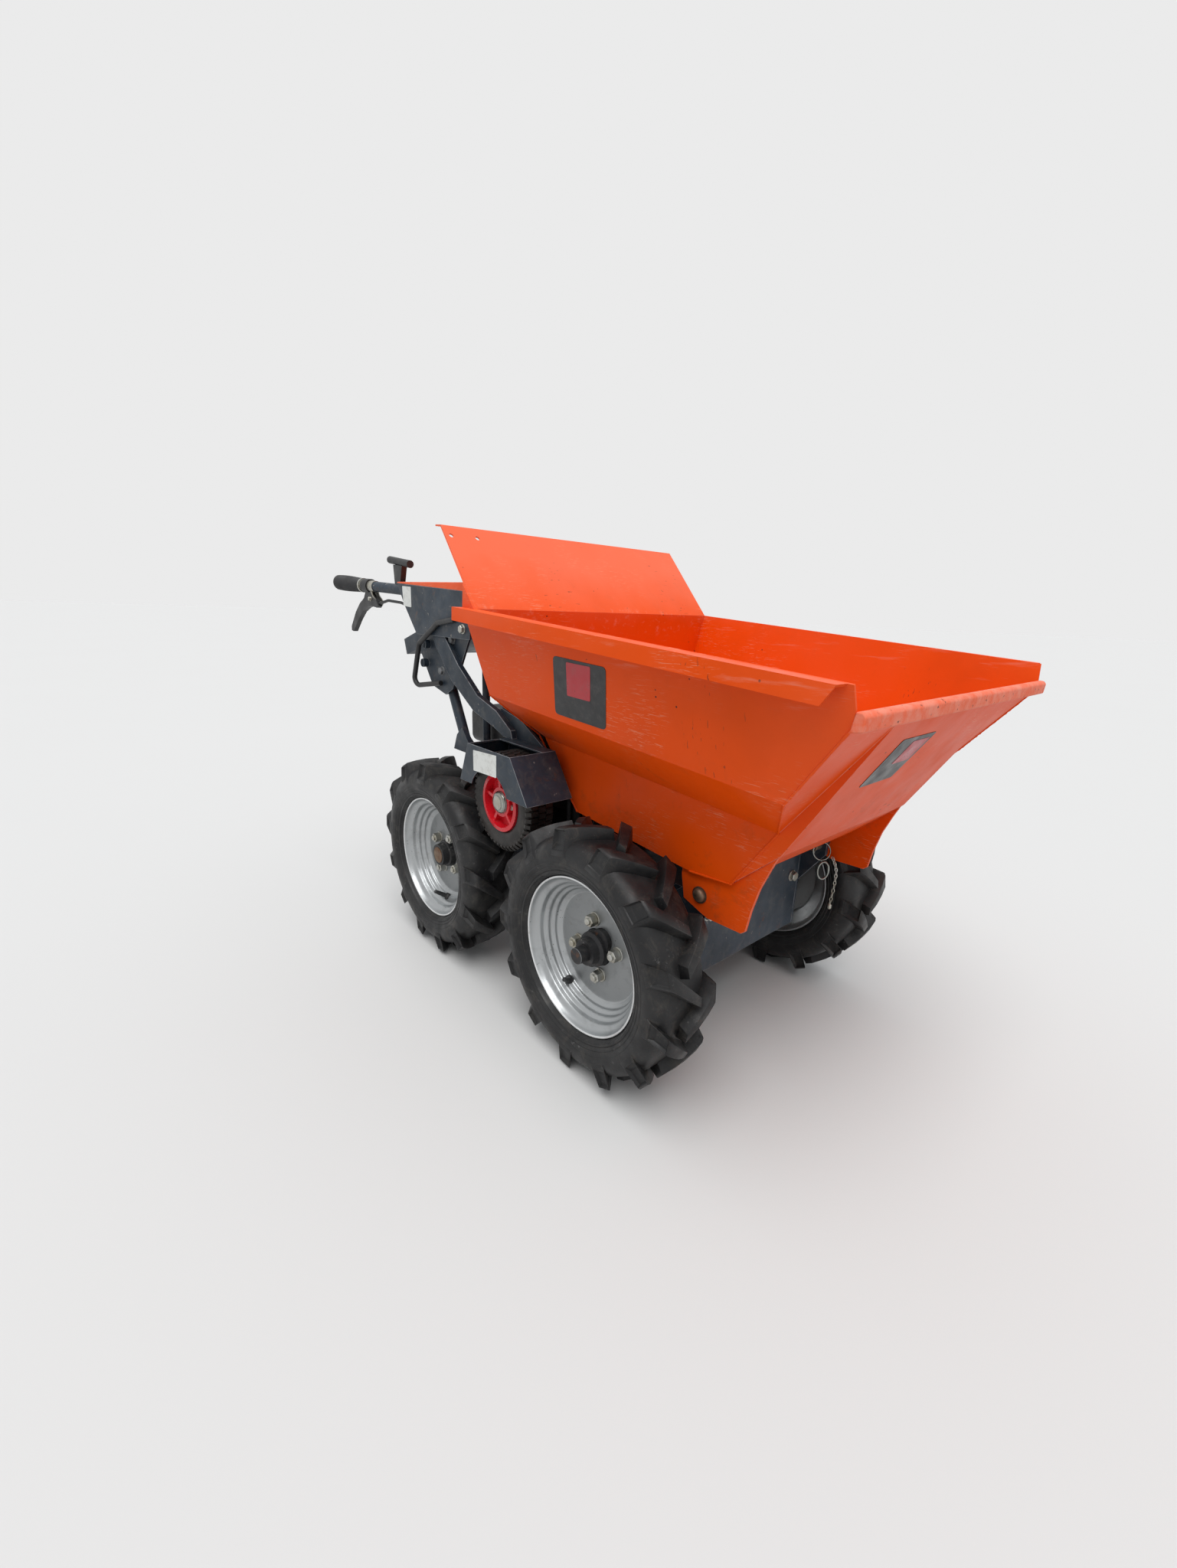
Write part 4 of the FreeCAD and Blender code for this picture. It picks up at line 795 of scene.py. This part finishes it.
class DUMPER_OT_drive_wheels(bpy.types.Operator):
    """Block tread, casing and fasteners of the two drive wheels"""
    bl_idname = "dumper.drive_wheels"
    bl_label = "Drive wheels"

    def execute(self, context):
        step = 2 * math.pi / context.scene.dumper_tread.drive_blocks
        for side_name, side in SIDES:
            middle = spot(0, side * DRIVE_PLANE, DRIVE_Z)
            body = "drive_wheel_" + side_name
            bm = bmesh.new()
            for half in (-1, 1):
                spun(bm, middle, DRIVE_SECTION, 96, half, closed=False)
            casing = set(bm.faces)
            for k in range(context.scene.dumper_tread.drive_blocks):
                for low, high, shift in DRIVE_ROWS:
                    add_tread_block(bm, middle, step * (k + shift), step, low, high)
                for half in (-1, 1):
                    add_shoulder_block(bm, middle, step * k, step, half)
            rounded(bm, 0.0005, 1, [face for face in bm.faces if face not in casing])
            replaced = ["drive_tyre_" + side_name]
            finished("drive_tread_" + side_name, bm, "drive_rubber", body, replaced)
            bm = bmesh.new()
            steps = ((-8, 22.6), (1.4, 22.6), *dome(2, 8.5, 22, 7))
            stacked(bm, wheel_spot(middle, 0, side * 28, 0), (0, side, 0), steps, 48)
            finished("hub_cap_" + side_name, bm, "chrome", body)
            bm = bmesh.new()
            hex_bolt(bm, wheel_spot(middle, 31, side * 17, math.radians(-8)), (0, side, 0), 11, 0.3)
            finished("hub_bolts_" + side_name, bm, "zinc", body)
        return {"FINISHED"}


def add_tread_block(bm, middle, turn, step, low, high):
    """A block of the tread, wider at its foot; step is the angle between rows."""
    half = step * 0.36
    rings = []
    for radius, spread in ((93.2, half * 1.12), (98.4, half)):
        corners = ((low, -spread), (high, -spread), (high, spread), (low, spread))
        rings.append([wheel_spot(middle, radius, y, turn + angle) for y, angle in corners])
    prism(bm, *rings)


def add_shoulder_block(bm, middle, turn, step, half):
    """A block over one shoulder of the tread; half is -1 or 1."""
    rings = []
    for spread in (-0.30 * step, 0.30 * step):
        rings.append([wheel_spot(middle, radius, half * y, turn + spread) for radius, y in SHOULDER_BLOCK])
    prism(bm, *rings)


# Skip

PLATE_LIFT = 0.6
PANEL_LIFT = 0.95
LABEL_LIFT = 0.5
PLATE_THICK = 0.7
LABEL_THICK = 0.6
CORNER_STEPS = 6
BEAD_PITCH = 0.0035
BEAD_RADIUS = 1.9
WALL_LEAN = (330 - 292) / 159
SIDE_PLATE = ((226, -48), (352, -46), (340, -145), (213, -147))
SIDE_PANEL = ((259, -53), (317, -51), (309, -106), (252, -108))
NOSE_PLATE = ((668.6, -137, -158.4), (668.6, -38, -158.4), (705.8, -21.5, -83), (705.8, -128.5, -83))
SEAMS = (
    # places along the rim, across and up from it: nose to side, side's front, floor to nose, rear corner
    ((653, 292, -159), (607, 207, -234), (548, 207, -340)),
    ((724, 319, -46), (653, 292, -159)),
    ((470, 207, -353), (548, 207, -340)),
    ((2, 292, -159), (55, 207, -234), (190, 207, -353)),
)


def add_plate(name, corners, lift, round_by, finish, body, thick=PLATE_THICK):
    """A thin plate with rounded corners, lying on the plane of four corners in metres."""
    normal = (corners[1] - corners[0]).cross(corners[3] - corners[0]).normalized()
    outline = []
    for k, corner in enumerate(corners):
        back = (corners[k - 1] - corner).normalized() * round_by * MM
        ahead = (corners[(k + 1) % 4] - corner).normalized() * round_by * MM
        for n in range(CORNER_STEPS):
            t = n / (CORNER_STEPS - 1)
            outline.append(corner + back * (1 - t) ** 2 + ahead * t ** 2)
    bm = bmesh.new()
    prism(bm, *[[place + normal * height * MM for place in outline] for height in (lift - thick, lift)])
    finished(name, bm, finish, body)


def on_wall(outline, side):
    """An outline on the outside of a side wall, its corners in the order that turns its face outward."""
    corners = [skip_spot(u, side * (330 + WALL_LEAN * w), w) for u, w in outline]
    return corners[::side]


class DUMPER_OT_skip_details(bpy.types.Operator):
    """Blank plates on the skip and the weld beads of its seams"""
    bl_idname = "dumper.skip_details"
    bl_label = "Skip details"

    def execute(self, context):
        for side_name, side in SIDES:
            plate, panel = on_wall(SIDE_PLATE, side), on_wall(SIDE_PANEL, side)
            add_plate("side_plate_" + side_name, plate, PLATE_LIFT, 9, "black_label", "skip")
            add_plate("side_panel_" + side_name, panel, PANEL_LIFT, 3, "red_label", "skip")
        plate = [skip_spot(*place) for place in NOSE_PLATE]
        add_plate("nose_plate", plate, PLATE_LIFT, 5, "black_label", "skip")
        low, high = [[plate[0].lerp(plate[3], up), plate[1].lerp(plate[2], up)] for up in (0.42, 0.9)]
        panel = [low[0].lerp(low[1], 0.42), low[0].lerp(low[1], 0.92), high[0].lerp(high[1], 0.92),
                 high[0].lerp(high[1], 0.42)]
        add_plate("nose_panel", panel, PANEL_LIFT, 2, "red_label", "skip")
        bm = bmesh.new()
        chance = random.Random(7)
        for side_name, side in SIDES:
            for seam in SEAMS:
                corners = [skip_spot(u, side * y, w) for u, y, w in seam]
                for start, end in zip(corners, corners[1:]):
                    weld_bead(bm, start, end, chance)
        finished("skip_welds", bm, "orange_paint", "skip", smooth=math.radians(70))
        return {"FINISHED"}


def weld_bead(bm, start, end, chance):
    """A rippled bead along a seam."""
    count = max(4, int((end - start).length / BEAD_PITCH))
    across, up = upright(end - start)
    rings = []
    for k in range(count + 1):
        swell = BEAD_RADIUS * (1 + chance.uniform(-0.16, 0.16)) * (0.86 if k % 2 else 1.08)
        rings.append(loop_at(start.lerp(end, k / count), across, up, swell, 6))
    prism(bm, *rings)


# Frame, console and controls

FRAME_BOLTS = (
    # x, y outward, z, turn of the head
    (-231, 249, 743, 0.4), (-410, 163, 280, -41.0), (-380, 163, 250, -38.0), (-150, 163, 215, -15.0),
)
ARM_BOLTS = ((-306, 232, 717, -30.6), (-335, 245, 645, -33.5))
LABELS = (
    # name, y, corners' x and z
    ("guard_label", -335, ((-51.5, 484.5), (29.3, 487.3), (30, 529.7), (-51.5, 525))),
    ("console_label", -249, ((-516.8, 786), (-474.8, 783), (-473.8, 830), (-519.9, 832))),
)


class DUMPER_OT_frame_fittings(bpy.types.Operator):
    """Bolts, blank labels, pins and the chain of the frame and its guards"""
    bl_idname = "dumper.frame_fittings"
    bl_label = "Frame fittings"

    def execute(self, context):
        for side_name, side in SIDES:
            for name, bolts, finish, slot in (
                ("frame_bolts_", FRAME_BOLTS, "zinc", "zinc"),
                ("arm_bolts_", ARM_BOLTS, "black_edge", "dark_paint"),
            ):
                bm = bmesh.new()
                for x, y, z, turn in bolts:
                    hex_bolt(bm, spot(x, side * y, z), (0, side, 0), 15, turn)
                finished(name + side_name, bm, finish, "chassis")
        for name, y, outline in LABELS:
            corners = [spot(x, y, z) for x, z in outline]
            add_plate(name, corners, LABEL_LIFT, 2, "white_label", "chassis", LABEL_THICK)
        for side_name, side in SIDES:
            build_pivot_fittings(side_name, side)
        build_pin_chain()
        bm = bmesh.new()
        for side_name, side in SIDES:
            hex_bolt(bm, spot(383, side * 134, 293), (1, 0, 0), 17, 0.4)
        finished("front_bolts", bm, "zinc", "chassis")
        return {"FINISHED"}


PIVOT_STEPS = (
    # along the pin from the middle plane, radius: the pin, its collar and its domed head
    (145, 8.5), (146.5, 9.9), (200.6, 9.95), (200.6, 14), (201.8, 14), (202, 11.6), *dome(202, 8, 11.5, 8),
)


def build_pivot_fittings(side_name, side):
    """The pivot's pin with its domed head, the lynch pin through it, its ring and the loop on that."""
    bm = bmesh.new()
    stacked(bm, spot(412, 0, 362), (0, side, 0), PIVOT_STEPS, 40)
    finished("pivot_dressed_" + side_name, bm, "rusty_cap", "chassis", ["pivot_pin_" + side_name])
    bm = bmesh.new()
    stacked(bm, spot(412, side * 153, 347), (0, 0, 1), ((0, 2.6), (2, 3.2), (30, 3.2), (32, 2.6)), 16)
    ring = loop_at(spot(429, side * 152, 356), *upright((0.78, -0.55 * side, 0.25)), 17.5, 36)
    tube(bm, ring, 1.3, 10, closed=True)
    ring = loop_at(spot(438, side * 150, 319), Vector((7, 8, 0)), Vector((0, 0, 18)), 1, 32)
    tube(bm, ring, 1.9, 10, closed=True)
    finished("lynch_pin_" + side_name, bm, "chrome", "chassis")


CHAIN_ROUTE = ((438, 184, 336), (448, 184, 314), (449, 184, 280), (446, 184, 240))
LINK_PITCH = 0.0066


def build_pin_chain():
    """The chain that keeps the left pin's ring, hanging free with its hook."""
    bm = bmesh.new()
    path = smooth_run([spot(*place) for place in CHAIN_ROUTE], 12)
    links = int(sum((b - a).length for a, b in zip(path, path[1:])) / LINK_PITCH)
    for k in range(links):
        back, place, tip = [walk_along(path, (k + share) / links) for share in (0.1, 0.5, 0.9)]
        ahead = (tip - back).normalized()
        across, up = upright(ahead)
        wide = across if k % 2 else up
        tube(bm, loop_at(place, ahead * 5.0, wide * 2.6, 1, 14), 0.8, 6, closed=True)
    stacked(bm, spot(*CHAIN_ROUTE[-1]), (0, 0, -1), ((0, 1.5), (2, 4), (9, 4), (12, 1.6)), 12)
    finished("pin_chain_left", bm, "zinc", "chassis")


def walk_along(path, share):
    """The place at that share of a path's points."""
    at = share * (len(path) - 1)
    k = min(int(at), len(path) - 2)
    return path[k].lerp(path[k + 1], at - k)


HANDLE_START = (-330, 195.3, 810.2)
HANDLE_FLARE = math.radians(8)
HANDLE_RISE = math.radians(3.3)
HANDLE_RUN = 559
GRIP_LENGTH = 129


def handle_line(side):
    """Start and direction of a handlebar."""
    flat = math.cos(HANDLE_RISE)
    across = side * math.sin(HANDLE_FLARE) * flat
    way = Vector((-math.cos(HANDLE_FLARE) * flat, across, math.sin(HANDLE_RISE)))
    return spot(HANDLE_START[0], side * HANDLE_START[1], HANDLE_START[2]), way


GRIP_FOOT = ((0, 13.2), (0, 17.5), (1.5, 18.4))
GRIP_END = ((GRIP_LENGTH - 5, 15.5), (GRIP_LENGTH - 1.5, 12.8), (GRIP_LENGTH, 8), (GRIP_LENGTH + 0.1, 2))
RIB_PITCH = 4.6
RIB_STEPS = (
    # along the grip, how far below its swell
    (0, 0.7), (0.9, 0), (2.6, 0), (3.5, 0.7),
)
CLAMP_PLACE = 360
CLAMP_STEPS = (
    # along the handlebar, radius: two bands and a collar
    (0, 13.4), (0, 14.6), (44, 14.6), (44, 16.4), (50, 16.4), (50, 14.8), (60, 14.8), (60, 18.6), (66, 18.6),
    (66, 13.4),
)


class DUMPER_OT_controls(bpy.types.Operator):
    """Ribbed grips, lever clamps, pivots and cable ends"""
    bl_idname = "dumper.controls"
    bl_label = "Controls"

    def execute(self, context):
        for side_name, side in SIDES:
            start, way = handle_line(side)
            steps = [*GRIP_FOOT]
            along = 4
            while along < GRIP_LENGTH - 8:
                steps += [(along + ahead, grip_radius(along) - low) for ahead, low in RIB_STEPS]
                along += RIB_PITCH
            bm = bmesh.new()
            stacked(bm, start + way * (HANDLE_RUN - GRIP_LENGTH) * MM, way, [*steps, *GRIP_END], 44)
            name = "ribbed_grip_" + side_name
            finished(name, bm, "grip_rubber", "chassis", ["grip_" + side_name])
            bm = bmesh.new()
            clamp = start + way * CLAMP_PLACE * MM
            stacked(bm, clamp, way, CLAMP_STEPS, 40)
            across = upright(way)[0]
            stacked(bm, clamp + (way * 12 + across * 14) * MM, across, ((-2, 4), (2.5, 4), (3.4, 3)), 16)
            build_perch(bm, side)
            finished("lever_perch_" + side_name, bm, "zinc", "chassis")
        return {"FINISHED"}


PERCH = (
    # x and z of the bracket that carries a brake lever
    (-744, 836), (-704, 836), (-689, 810), (-664, 794), (-672, 784), (-706, 785), (-722, 793), (-726, 809),
)
PERCH_PLANE = 246


def grip_radius(along):
    """A grip swells toward its outer third."""
    return 18.4 + 2.4 * math.sin(math.pi * min(1, along / (GRIP_LENGTH * 1.25))) ** 1.5


def build_perch(bm, side):
    """Cheek plates either side of the lever's knee, the knee's bolt and the cable's stop."""
    for cheek in ((-10, -7.6), (7.6, 10)):
        prism(bm, *[[spot(x, side * PERCH_PLANE + shift, z) for x, z in PERCH] for shift in cheek])
    knee = spot(-702, side * PERCH_PLANE, 800)
    for way in (-1, 1):
        hex_bolt(bm, knee + Vector((0, way * 10, 0)) * MM, (0, way, 0), 9, 0.3)
    stop = spot(-672, side * PERCH_PLANE, 789)
    stacked(bm, stop, (1, 0, 0.1), ((-8, 4.6), (6, 4.6), (7, 4), (18, 4), (19, 3)), 18)


UP = Vector((0, 0, 1))
FOOT_BOLTS = (
    # x, z, y either side of the middle
    (-296, 278, 80), (-210, 278, 80), (-88, 275, 84), (48, 275, 84),
)
LEAD_ROUTE = ((-220, 112, 452), (-220, 118, 474), (-262, 90, 470), (-318, 50, 452), (-334, 30, 432))
STARTER_GRIP = ((-384, -68, 347), (-387, -68, 361), (-387, -68, 381), (-384, -68, 395))


class DUMPER_OT_engine_details(bpy.types.Operator):
    """Caps, bolts, the plug's lead and the starter's grip on the engine and the gearbox"""
    bl_idname = "dumper.engine_details"
    bl_label = "Engine details"

    def execute(self, context):
        bm = bmesh.new()
        cap = spot(-215, -60, 570)
        stacked(bm, cap, UP, ((0, 27), (2, 30), (10, 30), (12, 27), (12.6, 10)), 40)
        for foot in loop_at(cap + UP * MM, Vector((1, 0, 0)), Vector((0, 1, 0)), 29.5, 16):
            stacked(bm, foot, UP, ((0, 2.6), (9, 2.6)), 8)
        stacked(bm, spot(-236, -122, 551), UP, ((0, 16), (6, 16), *dome(6, 9, 15, 9)), 32)
        finished("tank_caps", bm, "black_plastic", "chassis")
        bm = bmesh.new()
        for x, z, spread in FOOT_BOLTS:
            for y in (-spread, spread):
                hex_bolt(bm, spot(x, y, z), UP, 15, x * 0.1)
        for angle in turns(6, math.radians(30)):
            foot = spot(-372, 80 * math.cos(angle), 371 + 80 * math.sin(angle))
            hex_bolt(bm, foot, (-1, 0, 0), 9, angle)
        for z in (356, 424):
            for x in (-290, -230):
                hex_bolt(bm, spot(x, 146, z), (0, 1, 0), 11, x * 0.1)
        stacked(bm, spot(-236, -140, 551), UP, ((0, 3), (12, 3)), 12)
        finished("engine_bolts", bm, "zinc", "chassis")
        bm = bmesh.new()
        tube(bm, smooth_run([spot(*place) for place in LEAD_ROUTE], 10), 3.4, 12)
        stacked(bm, spot(-220, 108, 446), (0, 0.2, 1), ((0, 9), (4, 10), (18, 10), (24, 8), (27, 5)), 24)
        tube(bm, smooth_run([spot(*place) for place in STARTER_GRIP], 6), 6.2, 16)
        finished("lead_and_starter_grip", bm, "black_plastic", "chassis")
        return {"FINISHED"}


# Stage

def aim(location, look, right):
    """A camera's placement from the way it looks and its picture's right."""
    look = Vector(look).normalized()
    right = (Vector(right) - look * Vector(right).dot(look)).normalized()
    up = right.cross(look)
    turn = Matrix((right, up, -look)).transposed().to_4x4()
    return Matrix.Translation(Vector(location)) @ turn


def soft_sun():
    """One wide sun from above the camera's side."""
    light = bpy.data.lights.new("sky_lamp", "SUN")
    light.energy = 2.3
    light.angle = math.radians(50)
    holder = bpy.data.objects.new("sky_lamp", light)
    bpy.context.scene.collection.objects.link(holder)
    holder.location = (0.9, -1.0, 3.4)
    holder.rotation_euler = (-holder.location).to_track_quat("-Z", "Y").to_euler()


def studio_world():
    """Soft light that is stronger from above; a plain pale backdrop where camera, gloss or glass looks."""
    world = bpy.data.worlds.new("studio")
    world.use_nodes = True
    nodes, links = world.node_tree.nodes, world.node_tree.links
    soft = nodes["Background"]
    soft.inputs["Color"].default_value = (0.93, 0.96, 1.0, 1)
    sky = nodes.new("ShaderNodeTexCoord")
    parts = nodes.new("ShaderNodeSeparateXYZ")
    links.new(sky.outputs["Generated"], parts.inputs[0])
    rise = nodes.new("ShaderNodeMapRange")
    links.new(parts.outputs["Z"], rise.inputs["Value"])
    for name, number in (("From Min", 0.0), ("From Max", 0.75), ("To Min", 0.10), ("To Max", 0.95)):
        rise.inputs[name].default_value = number
    links.new(rise.outputs["Result"], soft.inputs["Strength"])
    seen = nodes.new("ShaderNodeBackground")
    seen.inputs["Color"].default_value = (0.83, 0.83, 0.83, 1)
    rays = nodes.new("ShaderNodeLightPath")
    shown = rays.outputs["Is Camera Ray"]
    for ray in ("Is Glossy Ray", "Is Transmission Ray"):
        either = nodes.new("ShaderNodeMath")
        either.operation = "MAXIMUM"
        links.new(shown, either.inputs[0])
        links.new(rays.outputs[ray], either.inputs[1])
        shown = either.outputs[0]
    switch = nodes.new("ShaderNodeMixShader")
    for socket, value in zip(switch.inputs, (shown, soft.outputs[0], seen.outputs[0])):
        links.new(value, socket)
    links.new(switch.outputs[0], nodes["World Output"].inputs["Surface"])
    return world


def pale_floor():
    """Matt studio floor, very slightly uneven in tone."""
    make = Finish("pale_floor", (0.585, 0.578, 0.566))
    make.coat(make.noise(0.8, 2), (0.593, 0.586, 0.574))
    return make.done(make.mottle((3, 2), 0.3, 0.7, 0.85, 0.92), specular=0.1)


class DUMPER_OT_stage(bpy.types.Operator):
    """Floor, soft light and the photograph's camera"""
    bl_idname = "dumper.stage"
    bl_label = "Stage"

    def execute(self, context):
        scene = context.scene
        view = scene.dumper_view
        data = bpy.data.cameras.new("photo_camera")
        data.sensor_fit = "AUTO"
        data.sensor_width = view.sensor
        data.lens = view.focal_pixels * view.sensor / PHOTO_LONG_SIDE
        data.clip_start = 0.01
        data.clip_end = 300
        camera = bpy.data.objects.new("photo_camera", data)
        scene.collection.objects.link(camera)
        camera.matrix_world = aim(view.eye, view.look, view.right)
        scene.camera = camera
        half = view.floor_half
        mesh = bpy.data.meshes.new("floor")
        corners = [(-half, -half, 0), (half, -half, 0), (half, half, 0), (-half, half, 0)]
        mesh.from_pydata(corners, [], [(0, 1, 2, 3)])
        floor = bpy.data.objects.new("floor", mesh)
        scene.collection.objects.link(floor)
        mesh.materials.append(pale_floor())
        soft_sun()
        scene.world = studio_world()
        scene.view_settings.view_transform = "Standard"
        return {"FINISHED"}


# Panel and start

class DUMPER_PT_build(bpy.types.Panel):
    """The steps that dress the dumper, in their order"""
    bl_idname = "DUMPER_PT_build"
    bl_label = "Site dumper"
    bl_space_type = "VIEW_3D"
    bl_region_type = "UI"
    bl_category = "Dumper"

    def draw(self, context):
        for group in ("dumper_paint", "dumper_wear", "dumper_tread", "dumper_view"):
            settings = getattr(context.scene, group)
            for name in settings.bl_rna.properties.keys():
                if name not in ("rna_type", "name"):
                    self.layout.prop(settings, name)
        for step in STEPS:
            self.layout.operator(step.bl_idname)


STEPS = (
    DUMPER_OT_stage, DUMPER_OT_finishes, DUMPER_OT_road_wheels, DUMPER_OT_drive_wheels,
    DUMPER_OT_skip_details, DUMPER_OT_frame_fittings, DUMPER_OT_controls, DUMPER_OT_engine_details,
)
GROUPS = (DumperPaint, DumperWear, DumperTread, DumperView)
CLASSES = (*GROUPS, *STEPS, DUMPER_PT_build)


def register():
    for item in CLASSES:
        bpy.utils.register_class(item)
    bpy.types.Scene.dumper_paint = bpy.props.PointerProperty(type=DumperPaint)
    bpy.types.Scene.dumper_wear = bpy.props.PointerProperty(type=DumperWear)
    bpy.types.Scene.dumper_tread = bpy.props.PointerProperty(type=DumperTread)
    bpy.types.Scene.dumper_view = bpy.props.PointerProperty(type=DumperView)


def unregister():
    del bpy.types.Scene.dumper_view
    del bpy.types.Scene.dumper_tread
    del bpy.types.Scene.dumper_wear
    del bpy.types.Scene.dumper_paint
    for item in reversed(CLASSES):
        bpy.utils.unregister_class(item)


def main():
    register()
    for step in STEPS:
        group, name = step.bl_idname.split(".")
        getattr(getattr(bpy.ops, group), name)()


if __name__ == "__main__":
    main()
